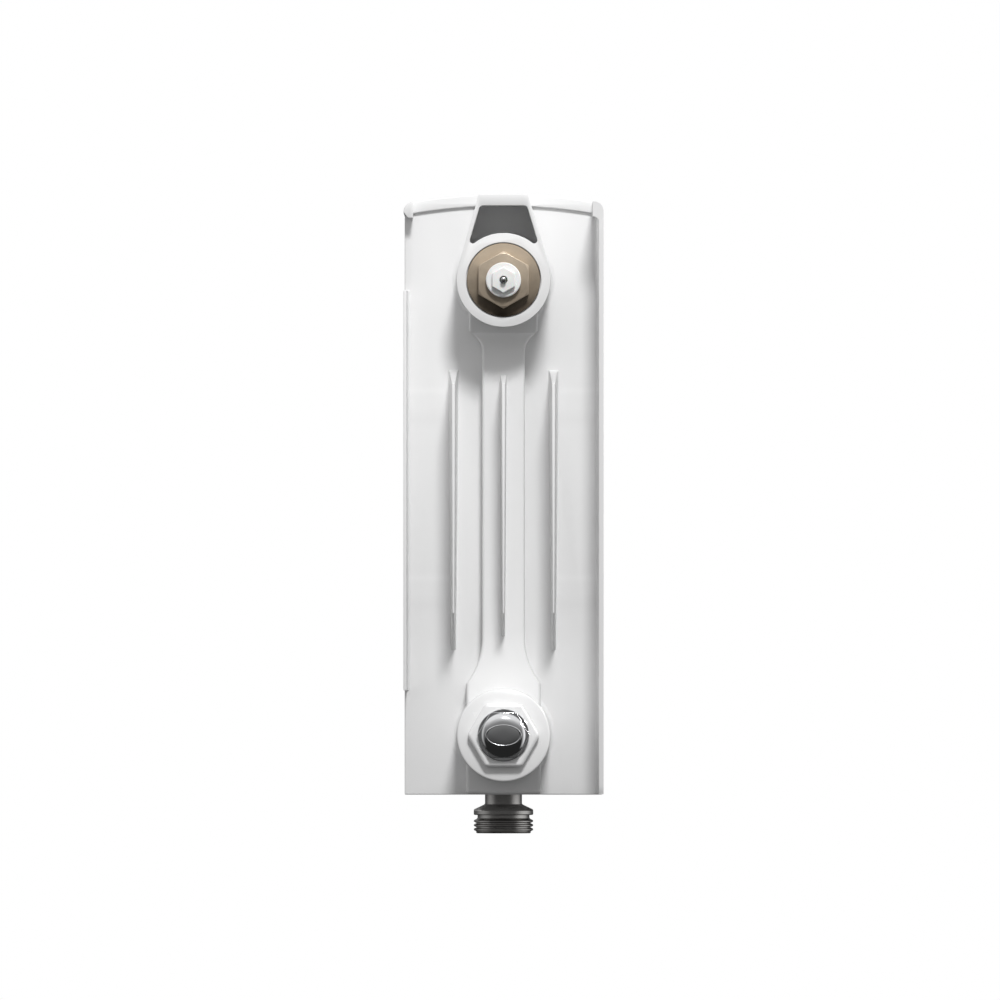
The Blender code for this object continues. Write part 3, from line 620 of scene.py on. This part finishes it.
def make_fin(y, side):
    """A fin from the web out to one side. It is drawn upwards, made thinner at its keel, and laid over."""
    root_z, tip_z = (81 * MM, 203.5 * MM), (97 * MM, 198 * MM)
    reach, root_half, tip_half = 37 * MM, 1.7 * MM, 0.75 * MM
    levels = []
    for out, flare in ((0.5, 0.7), (1.3, 0.55), (1.8, 0.3), (2.6, 0.1), (3.8, 0), (20, 0), (37, 0)):
        share = out * MM / reach
        low = root_z[0] + (tip_z[0] - root_z[0]) * share - flare * MM
        high = root_z[1] + (tip_z[1] - root_z[1]) * share + flare * MM
        thick = root_half + (tip_half - root_half) * share + flare * MM
        levels.append(((high - low) / 2, thick, -(high + low) / 2, out * MM))
    fin = tower("fin", levels)
    edit_all()
    bpy.ops.mesh.select_mode(type="VERT")
    bpy.ops.mesh.select_all(action="DESELECT")
    bpy.ops.object.mode_set(mode="OBJECT")
    for vertex in fin.data.vertices:
        vertex.select = vertex.co.x > -KEEL_HEIGHT
    bpy.ops.object.mode_set(mode="EDIT")
    bpy.ops.transform.resize(value=(1, 0.5, 1), center_override=(0, 0, 0))
    bpy.ops.object.mode_set(mode="OBJECT")
    fin = round_edges(fin, 0.3 * MM, 3, 60)
    fin.rotation_euler = (0, side * math.radians(90), 0)
    if side < 0:
        fin.scale = (-1, 1, 1)
    fin.location = (0, y, 0)
    settle(fin)
    edit_all()
    close_up()
    return fin


def make_root_cove(port):
    """The cove where a collector meets the web, on both sides of it."""
    flare = 2.2 * MM
    angles = [math.radians(15 * step) for step in range(7)]
    inside = COLLAR - 0.2 * MM
    side = [(inside + flare * (1 - math.sin(a)), WEB_HALF + flare * (1 - math.cos(a))) for a in angles]
    outline = [(radius, -height) for radius, height in reversed(side)] + side
    root = lathe("root_cove", outline, 80)
    root.rotation_euler.y = math.radians(90)
    root.location.z = port
    settle(root)
    return root


column = make_column()
fins = [make_fin(y, side) for y in (-22 * MM, 0, 22 * MM) for side in (-1, 1)]
print("column", len(column.data.polygons), "fins", len(fins))

# %% [markdown]
# ### Boring and putting together
# Each solid is bored where the water runs: right through both collectors, and down the column. The
# bored solids then overlap in one mesh, as they melt into one another in the casting. The two
# sections at the valve end also get a boss for a pipe connector, and the first one gets the seat of
# the valve's round face.

# %% Bores
BORE = 15.3 * MM
PAST = COLLAR_HALF + 2 * MM


def bore(piece, *ports):
    return cut(piece, *[bar("bore", BORE, (-PAST, 0, port), (PAST, 0, port), 80) for port in ports])


def bore_along(piece, radius, x, low, high):
    return cut(piece, bar("channel", radius, (x, 0, low), (x, 0, high), 48))


def cast(name, *solids):
    """Melts copies of the solids into one casting."""
    return smooth(melt(name, *[copy_of(solid, name) for solid in solids]))


bore(web, LOWER_PORT, UPPER_PORT)
bore(upper_collector, UPPER_PORT)
bore(lower_collector, LOWER_PORT)
upper_cove = bore(make_root_cove(UPPER_PORT), UPPER_PORT)
lower_cove = bore(make_root_cove(LOWER_PORT), LOWER_PORT)
bore(column, LOWER_PORT, UPPER_PORT)
for solid in (column, upper_collector, lower_collector):
    bore_along(solid, 7 * MM, 0, LOWER_PORT, UPPER_PORT)

# %% [markdown]
# The boss of a pipe connector is a block beside the column's foot, bored from below. The seat is a
# shallow counterbore in the outer face of the first section's upper collar.

# %% The three kinds of section
CONNECTOR_X = 15 * MM


def make_connector_boss(side):
    low, high = sorted((0, side * 29 * MM))
    boss = block("connector_boss", (low, -16.4 * MM, BOTTOM + 0.4 * MM), (high, 16.4 * MM, LOWER_PORT))
    round_edges(boss, 1.3 * MM, 4)
    bore(boss, LOWER_PORT)
    return bore_along(boss, 8.5 * MM, side * CONNECTOR_X, 0, LOWER_PORT)


seat_collector = copy_of(upper_collector, "seat_collector")
seat_foot = (-COLLAR_HALF + 2.5 * MM, 0, UPPER_PORT)
cut(seat_collector, bar("seat", 16.6 * MM, (-PAST, 0, UPPER_PORT), seat_foot, 96))
connected_collectors = {}
for side in (-1, 1):
    tube = copy_of(lower_collector, "connected_collector")
    connected_collectors[side] = bore_along(tube, 8.5 * MM, side * CONNECTOR_X, 0, LOWER_PORT)
bosses = {side: make_connector_boss(side) for side in (-1, 1)}

common = [web, rim, upper_cove, lower_cove, front_panel, rear_plate, rear_lip, column, *fins]
plain_section = cast("plain_section", *common, upper_collector, lower_collector)
first_section = cast("first_section", *common, seat_collector, connected_collectors[1], bosses[1])
second_section = cast("second_section", *common, upper_collector, connected_collectors[-1], bosses[-1])
for solid in [*common, upper_collector, lower_collector, seat_collector, *connected_collectors.values(),
              *bosses.values()]:
    bpy.data.objects.remove(solid, do_unlink=True)
print("section", len(plain_section.data.polygons), "faces")

# %% [markdown]
# ## Surfaces
# Each finish is a small formula. A wrapper around a shader socket lets the sums be written like
# ordinary ones, and the other nodes come from one method that takes a kind, settings and inputs.

# %% Shader arithmetic


class Socket:
    """A shader value that can be added, multiplied and compared."""

    def __init__(self, finish, plug):
        self.finish, self.plug = finish, plug

    def math(self, operation, *others):
        return self.finish.node("ShaderNodeMath", {"operation": operation}, [self, *others])

    def __add__(self, other):
        return self.math("ADD", other)

    def __sub__(self, other):
        return self.math("SUBTRACT", other)

    def __mul__(self, other):
        return self.math("MULTIPLY", other)

    def __truediv__(self, other):
        return self.math("DIVIDE", other)

    def __rsub__(self, other):
        return self.finish.node("ShaderNodeMath", {"operation": "SUBTRACT"}, [other, self])

    def __gt__(self, other):
        return self.math("GREATER_THAN", other)

    __radd__, __rmul__ = __add__, __mul__

    def near(self, place, width):
        """1 at a place, fading to 0 at this distance from it."""
        return (1 - (self - place).math("ABSOLUTE") / width).math("MAXIMUM", 0)


class Finish:
    """One material, with its Principled shader and the place on the piece."""

    def __init__(self, name, **constants):
        self.material = bpy.data.materials.new(name)
        self.material.use_nodes = True
        self.tree = self.material.node_tree
        self.shader = self.tree.nodes["Principled BSDF"]
        self.place = self.node("ShaderNodeTexCoord", {}, [], "Object")
        xyz = self.node("ShaderNodeSeparateXYZ", {}, [self.place], None)
        self.x, self.y, self.z = (Socket(self, xyz.outputs[axis]) for axis in "XYZ")
        for key, value in constants.items():
            self.shader.inputs[key.replace("_", " ")].default_value = value

    def node(self, kind, settings, values, result=0):
        made = self.tree.nodes.new(kind)
        for key, value in settings.items():
            setattr(made, key, value)
        pairs = values.items() if isinstance(values, dict) else enumerate(values)
        for key, value in pairs:
            if isinstance(value, Socket):
                self.tree.links.new(value.plug, made.inputs[key])
            else:
                made.inputs[key].default_value = value
        return made if result is None else Socket(self, made.outputs[result])

    def noise(self, scale, detail=2.0, roughness=0.5, stretch=None):
        where = self.place
        if stretch is not None:
            where = self.node("ShaderNodeMapping", {}, {"Vector": where, "Scale": stretch})
        values = {"Vector": where, "Scale": scale, "Detail": detail, "Roughness": roughness}
        return self.node("ShaderNodeTexNoise", {}, values, "Fac")

    def mix(self, share, first, second):
        """Blends two colours."""
        made = self.node("ShaderNodeMix", {"data_type": "RGBA"}, {0: share, 6: first, 7: second}, None)
        return Socket(self, made.outputs[2])

    def set(self, name, value):
        self.tree.links.new(value.plug, self.shader.inputs[name])
        return self

    def bump(self, height, distance, strength=1.0):
        values = {"Strength": strength, "Distance": distance, "Height": height}
        return self.set("Normal", self.node("ShaderNodeBump", {}, values, "Normal"))


def colour(red, green, blue):
    return (red, green, blue, 1.0)


# %% [markdown]
# ### White powder coat
# Powder is sprayed on dry and melted in an oven, so it covers the casting in one soft skin. It flows
# almost level and leaves a very fine orange peel. On the web, between the outer fins and the panels,
# faint bands of painted highlight and painted shade are laid into the white.

# %% Powder coat and enamel
powder = Finish("white_powder_coat", Coat_Weight=0.06, Coat_Roughness=0.35)
peel = powder.noise(900, 2.0)
cloud = powder.noise(18, 3.0)
# Painted light: bands of painted highlight and painted shade across the web, beside the outer fins.
painted_band_reach = (powder.y.math("ABSOLUTE") > 24 * MM) * (41.5 * MM - powder.y.math("ABSOLUTE") > 0)
painted_highlight_band = powder.z.near(195 * MM, 2.5 * MM) + powder.z.near(112.5 * MM, 2.5 * MM)
painted_shade_band = powder.z.near(182.3 * MM, 5 * MM) + powder.z.near(100.6 * MM, 5 * MM)
painted_light_bands = painted_band_reach * (painted_highlight_band - painted_shade_band)
whiteness_and_painted_bands = 0.5 + 0.12 * (cloud - 0.5) + 0.5 * painted_light_bands
powder.set("Base Color", powder.mix(whiteness_and_painted_bands, colour(0.775, 0.775, 0.775), colour(0.825, 0.825, 0.825)))
powder.set("Roughness", 0.52 + 0.08 * (cloud - 0.5))
powder.bump(peel, 0.02 * MM, 0.35)

enamel = Finish("white_enamel", Coat_Weight=0.4, Coat_Roughness=0.12)
flow = enamel.noise(220, 2.0)
enamel.set("Base Color", enamel.mix(flow, colour(0.80, 0.80, 0.80), colour(0.84, 0.84, 0.84)))
enamel.set("Roughness", 0.26 + 0.06 * (flow - 0.5))
enamel.bump(flow, 0.02 * MM, 0.3)

# %% [markdown]
# ### Metals
# The valve is turned from brass and dipped in a yellow passivation. Its colour has painted light and
# shade over a random tarnish: paler towards the top and darker towards the bottom, most of all on the
# sunk face under the hexagon. The turning marks are rings about the port's axis: fine ridges that
# follow the distance from it. Chrome is plated over a polished plug and needs almost no texture. The
# connectors are turned and nickelled, and so darker and more satin.

# %% Metals
def rings(finish, port, pitch):
    """Fine ridges around a port's axis."""
    height = finish.z - port
    radius = (finish.y * finish.y + height * height).math("SQRT")
    return (radius * (2 * math.pi / pitch)).math("SINE")


brass = Finish("passivated_brass", Metallic=0.5)
tarnish = brass.noise(160, 3.0, 0.6)
# Painted shade and light: the brass is coloured paler above the port and darker below it, most of all on the
# sunk face, where the hexagon's shadow falls.
above_port = (brass.z - UPPER_PORT) / (17 * MM)
painted_shade_on_sunk_face = brass.x > NEAR_FACE - 1 * MM
tarnish_and_painted_shade = 0.66 + 0.2 * above_port + 0.3 * (tarnish - 0.5) + painted_shade_on_sunk_face * (0.4 * above_port - 0.1)
tarnish_and_painted_shade = tarnish_and_painted_shade.math("MAXIMUM", 0.0).math("MINIMUM", 1.0)
brass.set("Base Color", brass.mix(tarnish_and_painted_shade, colour(0.05, 0.035, 0.022), colour(0.70, 0.585, 0.45)))
brass.set("Roughness", 0.34 + 0.16 * (tarnish - 0.5))
brass.bump(rings(brass, UPPER_PORT, 0.22 * MM), 0.004 * MM, 0.5)

chrome = Finish("polished_chrome", Metallic=1.0)
haze = chrome.noise(120, 2.0)
chrome.set("Base Color", chrome.mix(haze, colour(0.76, 0.77, 0.78), colour(0.82, 0.82, 0.83)))
chrome.set("Roughness", 0.07 + 0.05 * haze)

nickel = Finish("turned_nickel", Metallic=1.0)
satin = nickel.noise(200, 2.0, 0.5, (1, 1, 12))
nickel.set("Base Color", nickel.mix(satin, colour(0.36, 0.355, 0.35), colour(0.52, 0.51, 0.495)))
nickel.set("Roughness", 0.30 + 0.14 * (satin - 0.5))
nickel.bump(satin, 0.01 * MM, 0.4)

steel = Finish("bright_steel", Metallic=1.0)
drawn = steel.noise(500, 2.0, 0.5, (0.1, 1, 1))
steel.set("Base Color", steel.mix(drawn, colour(0.52, 0.52, 0.52), colour(0.64, 0.64, 0.65)))
steel.set("Roughness", 0.26 + 0.12 * (drawn - 0.5))

# %% [markdown]
# ### Rubber, plastic and fibre
# O-rings are moulded and dull. The presetting ring and the spout ring are smooth white nylon. The
# flat seals are pressed from fibre sheet, with short hairs in the surface.

# %% Rubber, plastic and fibre
rubber = Finish("moulded_rubber")
bloom = rubber.noise(400, 2.0)
rubber.set("Base Color", rubber.mix(bloom, colour(0.018, 0.018, 0.018), colour(0.045, 0.045, 0.045)))
rubber.set("Roughness", 0.55 + 0.15 * (bloom - 0.5))

nylon = Finish("white_nylon", Subsurface_Weight=0.1, Subsurface_Scale=0.001)
grain = nylon.noise(300, 2.0)
nylon.set("Base Color", nylon.mix(grain, colour(0.80, 0.80, 0.79), colour(0.85, 0.85, 0.84)))
nylon.set("Roughness", 0.30 + 0.08 * (grain - 0.5))
nylon.bump(grain, 0.01 * MM, 0.3)

fibre = Finish("pressed_fibre")
hairs = fibre.noise(700, 4.0, 0.7, (1, 1, 0.3))
fibre.set("Base Color", fibre.mix(hairs, colour(0.50, 0.49, 0.45), colour(0.72, 0.71, 0.67)))
fibre.set("Roughness", 0.80 + 0.1 * (hairs - 0.5))
fibre.bump(hairs, 0.03 * MM, 0.5)
print("finishes", len([m for m in bpy.data.materials if m.users]))


# %% [markdown]
# ### Handing a piece over
# A finished piece takes its surface, says which working piece it stands in for, and rides on the
# body that carries it.

# %% Handing over
SLOTS = {"cast_body": powder, "white_plug": enamel, "passivated_brass": brass, "nickel_plate": nickel,
         "chrome_plate": chrome, "steel": steel, "black_rubber": rubber, "white_plastic": nylon,
         "gasket_fibre": fibre}
slot_of = {entry["node"]: entry["material_slot"] for entry in frame["record"]["subparts"]}
body_of = {node: body for body, nodes in frame["record"]["behaviour"]["bodies"].items() for node in nodes}


def hand_over(piece, node, angle=32):
    settle(piece)
    smooth(piece, angle)
    piece.name = piece.data.name = f"{node}_shown"
    piece.data.materials.clear()
    piece.data.materials.append(SLOTS[slot_of[node]].material)
    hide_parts(node)
    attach(piece, body_of[node])
    return piece


for number, name in enumerate(SECTIONS):
    pattern = (first_section, second_section, plain_section)[min(number, 2)]
    section = copy_of(pattern, name)
    section.location.x = middle(name).x
    hand_over(section, name)
for pattern in (first_section, second_section, plain_section):
    bpy.data.objects.remove(pattern, do_unlink=True)
print("sections shown:", len(SECTIONS))

# %% [markdown]
# ## Turned and milled pieces
# Everything screwed into the two ports is made about an upright axis, with heights counted outwards
# from the collar's face, and is then laid over and moved to its port. A nut's hexagon is a six-sided
# bar cut by a turned blank. The blank's slanted shoulders leave the curved chamfers of a real nut.

# %% Hexagons and ports
NEAR, FAR = -1, 1
FLATS_UP, CORNERS_UP = math.radians(90), 0.0


def hexagon(name, flats, low, high, turn, chamfer=0.0, corner_radius=0.0, foot_chamfer=False):
    """A hexagonal bar about Z. With no turn one corner points along X, which becomes up at a port."""
    deselect()
    bpy.ops.mesh.primitive_cylinder_add(vertices=6, radius=flats / math.sqrt(3), depth=high - low,
                                        location=(0, 0, (high + low) / 2),
                                        rotation=(0, 0, turn - math.radians(90)))
    piece = named(name)
    settle(piece)
    if corner_radius:
        edit_all()
        bpy.ops.mesh.select_all(action="DESELECT")
        bpy.ops.object.mode_set(mode="OBJECT")
        for edge in piece.data.edges:
            ends = [piece.data.vertices[i].co for i in edge.vertices]
            edge.select = abs(ends[0].z - ends[1].z) > 0.5 * (high - low)
        bpy.ops.object.mode_set(mode="EDIT")
        bpy.ops.mesh.bevel(offset=corner_radius, segments=6, affect="EDGES", clamp_overlap=True)
        bpy.ops.object.mode_set(mode="OBJECT")
    if chamfer:
        reach = flats / math.sqrt(3) + 0.02 * MM
        drop = chamfer * math.tan(math.radians(30))
        start = [(reach, low - MM)]
        if foot_chamfer:
            start = [(reach - chamfer, low - 0.01 * MM), (reach, low + drop)]
        blank = lathe("blank", start + [(reach, high - drop), (reach - chamfer, high + 0.01 * MM)], 120)
        apply(piece, "BOOLEAN", operation="INTERSECT", solver="EXACT", object=blank)
        bpy.data.objects.remove(blank, do_unlink=True)
    return piece


def to_port(piece, port, end):
    """Lays a piece over, so that its top points away from the radiator, and moves it to its port."""
    piece.rotation_euler = (0, end * math.radians(90), 0)
    piece.location = (NEAR_FACE if end < 0 else FAR_FACE, 0, port)
    settle(piece)
    return piece


def mm(*points):
    """Points written in millimetres."""
    return [(radius * MM, height * MM) for radius, height in points]


# %% [markdown]
# ### Flat seals
# A flat seal is a pressed ring with its edges slightly crushed.

# %% Flat seals
def make_flat_seal(node, port, place_x):
    seal = lathe(node, mm((15.6, -0.4), (15.7, -0.5), (20.1, -0.5), (20.2, -0.4), (20.2, 0.4),
                          (20.1, 0.5), (15.7, 0.5), (15.6, 0.4), (15.6, -0.4)), 96)
    seal.rotation_euler.y = math.radians(90)
    seal.location = (place_x, 0, port)
    return hand_over(seal, node)


for node in sorted(frame["nodes"]):
    if "gasket" in node:
        port = LOWER_PORT if "lower" in node or "blind" in node else UPPER_PORT
        make_flat_seal(node, port, middle(node).x)
print("flat seals done")

# %% [markdown]
# ### White plugs
# The reducing plug closes the big right-hand thread of a collar and offers a half-inch thread of its
# own. Its flange presses the seal. The enamel is thick, so the hexagon's corners are round.

# %% Reducing plugs and the blind plug
PLUG_FLATS = 27.7 * MM
THREAD = [(14.9 if step % 2 else 14.2, -13 + 0.9 * step) for step in range(16)]


def make_plug(node, port, end, open_bore):
    shell = [(13.6, -13.2), *THREAD, (14.6, 1.6), (20.2, 1.6), (20.5, 1.9), (20.5, 4.1), (20.25, 4.6),
             (19.6, 5.0), (12.5, 5.0)]
    inside = [(9.6, 5.0), (9.6, -13.2), (13.6, -13.2)] if open_bore else [(0, 5.0)]
    flange = lathe(f"{node}_flange", mm(*shell, *inside), 120)
    nut = hexagon(f"{node}_nut", PLUG_FLATS, 3.4 * MM, 10 * MM, FLATS_UP, 1.3 * MM, 1.6 * MM)
    round_edges(nut, 0.35 * MM, 3, 25)
    if open_bore:
        cut(nut, bar("bore", 9.6 * MM, (0, 0, 0), (0, 0, 20 * MM)),
            bar("recess", 10.9 * MM, (0, 0, 8.2 * MM), (0, 0, 20 * MM), 96))
    return hand_over(to_port(melt(node, flange, nut), port, end), node)


make_plug("lower_reducing_plug", LOWER_PORT, NEAR, True)
make_plug("upper_reducing_plug", UPPER_PORT, FAR, True)
make_plug("blind_plug", LOWER_PORT, FAR, False)
print("white plugs done")

# %% [markdown]
# ### Chrome blank plug
# This is the piece the eye goes to: a hexagon with a domed cap, polished before plating. A plain oval
# rim stands on the dome, where a maker would cast a mark.

# %% Blank plug
def make_blank_plug(node):
    shank = [(8.4, -6.2)] + [(9.3 if step % 2 else 8.8, -6 + 0.8 * step) for step in range(18)]
    base = shank + [(8.7, 9.6), (11.2, 10.2), (11.45, 10.4), (11.45, 10.9), (11.2, 11.2), (9.0, 11.2),
                    (0, 11.2)]
    foot = lathe(f"{node}_foot", mm(*base), 120)
    nut = hexagon(f"{node}_nut", 20 * MM, 10.9 * MM, 13.2 * MM, FLATS_UP, 0.5 * MM, 0.2 * MM)
    round_edges(nut, 0.22 * MM, 3, 25)
    dome = [(9.85, 12.6), (9.8, 13.15), (9.5, 13.75), (8.8, 14.35), (7.5, 14.9), (5.8, 15.25), (3.8, 15.43),
            (1.9, 15.5), (0, 15.5)]
    cap = lathe(f"{node}_cap", mm(*dome), 120)
    deselect()
    bpy.ops.mesh.primitive_torus_add(major_radius=1, minor_radius=0.05, major_segments=96, minor_segments=12,
                                     location=(0, 0, 15.1 * MM))
    oval = named(f"{node}_oval")
    oval.scale = (4.5 * MM, 7.6 * MM, 9 * MM)
    settle(oval)
    return hand_over(to_port(melt(node, foot, nut, cap, oval), LOWER_PORT, NEAR), node, 28)


make_blank_plug("blank_plug")
print("blank plug done")

# %% [markdown]
# ### Valve insert
# A round brass face lies level with the collar, and a hexagon stands on it for the spanner. The white
# ring in its middle sets the flow, and the pin in the ring's centre shuts the valve when a
# thermostat head pushes it in.

# %% Valve body
def make_valve_body(node):
    thread = [(14.9 if step % 2 else 14.3, -15 + 0.9 * step) for step in range(14)]
    shell = [(8.5, -75), (11.9, -75), (12.1, -74.8), (12.1, -72.4), (10.2, -72.4), (10.2, -70), (12.1, -70),
             (12.1, -67), (9, -61), (9, -17), *thread, (14.4, -2.2), (15.9, -2.2), (16.1, -2.0),
             (16.1, -0.5), (15.8, -0.2)]
    inside = [(5.5, -0.2), (5.5, -1.2), (5.2, -1.2), (5.2, -18), (7.2, -20), (7.2, -61.9), (4.5, -61.9),
              (4.5, -64), (8.5, -75)]
    body = lathe(f"{node}_turned", mm(*shell, *inside), 120)
    for across, along_port in ((3 * MM, 11 * MM), (11 * MM, 3 * MM)):
        cut(body, block("way", (-across, -along_port, -56 * MM), (across, along_port, -48.5 * MM)))
    nut = hexagon(f"{node}_nut", 22 * MM, -0.6 * MM, 5.8 * MM, CORNERS_UP, 1.2 * MM, 0.3 * MM)
    round_edges(nut, 0.2 * MM, 2, 25)
    cut(nut, bar("bore", 5.5 * MM, (0, 0, -2 * MM), (0, 0, 9 * MM)))
    return hand_over(to_port(melt(node, body, nut), UPPER_PORT, NEAR), node)


def make_presetting_ring(node):
    outline = mm((1.5, -12), (4.9, -12), (4.9, 6.1), (7.5, 6.1), (7.7, 6.3), (7.7, 8.8), (7.3, 9.2),
                 (2.5, 9.2), (1.5, 9.2), (1.5, -12))
    body = lathe(f"{node}_turned", outline, 96)
    nut = hexagon(f"{node}_nut", 10 * MM, 8.6 * MM, 12.3 * MM, CORNERS_UP, 0.5 * MM, 0.4 * MM)
    round_edges(nut, 0.2 * MM, 2, 25)
    cut(nut, bar("bore", 1.8 * MM, (0, 0, 6 * MM), (0, 0, 15 * MM), 48))
    return hand_over(to_port(melt(node, body, nut), UPPER_PORT, NEAR), node)


def make_valve_pin(node):
    pin = lathe(node, mm((2.2, -60.6), (2.4, -60.4), (2.4, -59.1), (1.2, -59.1), (1.2, -56), (4.2, -56),
                         (4.2, -54), (1.2, -54), (1.2, -23.5), (4.4, -23.5), (4.4, -22), (1.2, -22),
                         (1.2, 15.0), (1.1, 15.25), (0.85, 15.4), (0, 15.4)), 48)
    return hand_over(to_port(pin, UPPER_PORT, NEAR), node)


make_valve_body("valve_body")
make_presetting_ring("presetting_ring")
make_valve_pin("valve_pin")
print("valve insert done")

# %% [markdown]
# ### Air vent
# At the far end a small needle screw lets the air out. Its square head takes the usual vent key, and
# the nylon ring around it turns the spout to wherever the cup is held.

# %% Air vent
def make_vent_body(node):
    thread = [(9.3 if step % 2 else 8.8, -6 + 0.8 * step) for step in range(18)]
    shell = [(0.8, -6.2), (8.4, -6.2), *thread, (8.7, 9.6), (8.7, 11.1), (6, 11.1), (6, 19.2), (5.7, 19.5),
             (2.6, 19.5), (2.6, 6), (0.8, 4), (0.8, -6.2)]
    body = lathe(f"{node}_turned", mm(*shell), 96)
    cut(body, bar("outlet", 0.9 * MM, (0, 0, 16.1 * MM), (8 * MM, 0, 16.1 * MM), 24))
    nut = hexagon(f"{node}_nut", 20 * MM, 10.3 * MM, 14.5 * MM, FLATS_UP, 1.2 * MM, 0.3 * MM, True)
    round_edges(nut, 0.2 * MM, 2, 25)
    cut(nut, bar("bore", 2.9 * MM, (0, 0, 9 * MM), (0, 0, 16 * MM), 48))
    return hand_over(to_port(melt(node, body, nut), UPPER_PORT, FAR), node)


def make_spout_ring(node):
    ring = lathe(f"{node}_turned", mm((6.3, 14.9), (6.5, 14.8), (8.7, 14.8), (9, 15.1), (9, 18.8),
                                      (8.7, 19.1), (6.5, 19.1), (6.3, 19.0), (6.3, 14.9)), 96)
    level = 16.95 * MM
    nozzle = bar("nozzle", 1.6 * MM, (7.5 * MM, 0, level), (12 * MM, 0, level), 48)
    round_edges(nozzle, 0.3 * MM, 3)
    drain = bar("drain", 0.8 * MM, (4 * MM, 0, level), (14 * MM, 0, level), 32)
    return hand_over(to_port(cut(unite(ring, nozzle), drain), UPPER_PORT, FAR), node)


def make_needle(node):
    shank = lathe(f"{node}_shank", mm((0.6, 6.2), (2.3, 8), (2.3, 10.5), (1.4, 10.5), (1.4, 12.5),
                                      (2.3, 12.5), (2.3, 20.6), (0, 20.6)), 48)
    head = block(f"{node}_head", (-2.3 * MM, -2.3 * MM, 19.9 * MM), (2.3 * MM, 2.3 * MM, 21 * MM))
    round_edges(head, 0.2 * MM, 3)
    slot = block("slot", (-4 * MM, -0.5 * MM, 20.3 * MM), (4 * MM, 0.5 * MM, 22 * MM))
    cut(shank, copy_of(slot, "second_slot"))
    cut(head, slot)
    return hand_over(to_port(melt(node, shank, head), UPPER_PORT, FAR), node)


make_vent_body("vent_body")
make_spout_ring("vent_spout_ring")
make_needle("vent_needle")
print("air vent done")

# %% [markdown]
# ### Pipe connectors
# Two nickelled stubs point down, fifty millimetres apart. A union nut screws on each. The thread is a
# real one in shape: sharp crests, 1.8 mm apart, with a chamfered start.

# %% Pipe connectors
PITCH = 1.85


def make_connector(node):
    crest, root = 13.05, 11.85
    thread = [(11.7, 0.0), (12.1, 0.4)]
    for turn in range(3):
        level = 1.55 + turn * PITCH
        thread += [(root, level - 0.75), (crest, level - 0.18), (crest, level + 0.18), (root, level + 0.75)]
    outline = thread + [(11.45, 6.6), (11.45, 8.0), (12.8, 8.1), (13.1, 8.4), (13.1, 9.9), (12.8, 10.3),
                        (8.6, 12.3), (8.15, 12.8), (8.15, 22), (6.9, 22), (6.9, 24), (8.15, 24),
                        (8.15, 27.4), (7.55, 28), (6, 28), (6, 8), (8, 6), (8, 0.3), (8.3, 0.0), (11.7, 0.0)]
    stub = lathe(node, mm(*outline), 120)
    stub.location.x = middle(node).x
    return hand_over(stub, node)


make_connector("connector_1")
make_connector("connector_2")
print("connectors done")

# %% [markdown]
# ## Pieces kept from the working model
# Nipples, O-rings, the spring and the guide sit inside. Their working shape is already the true one,
# so they only take their surface.

# %% Surfaces of the inner pieces
kept = [node for node in frame["nodes"] if f"{node}_shown" not in bpy.data.objects]
for node in kept:
    frame["nodes"][node].data.materials.clear()
    frame["nodes"][node].data.materials.append(SLOTS[slot_of[node]].material)
print("kept", len(kept), "inner pieces")
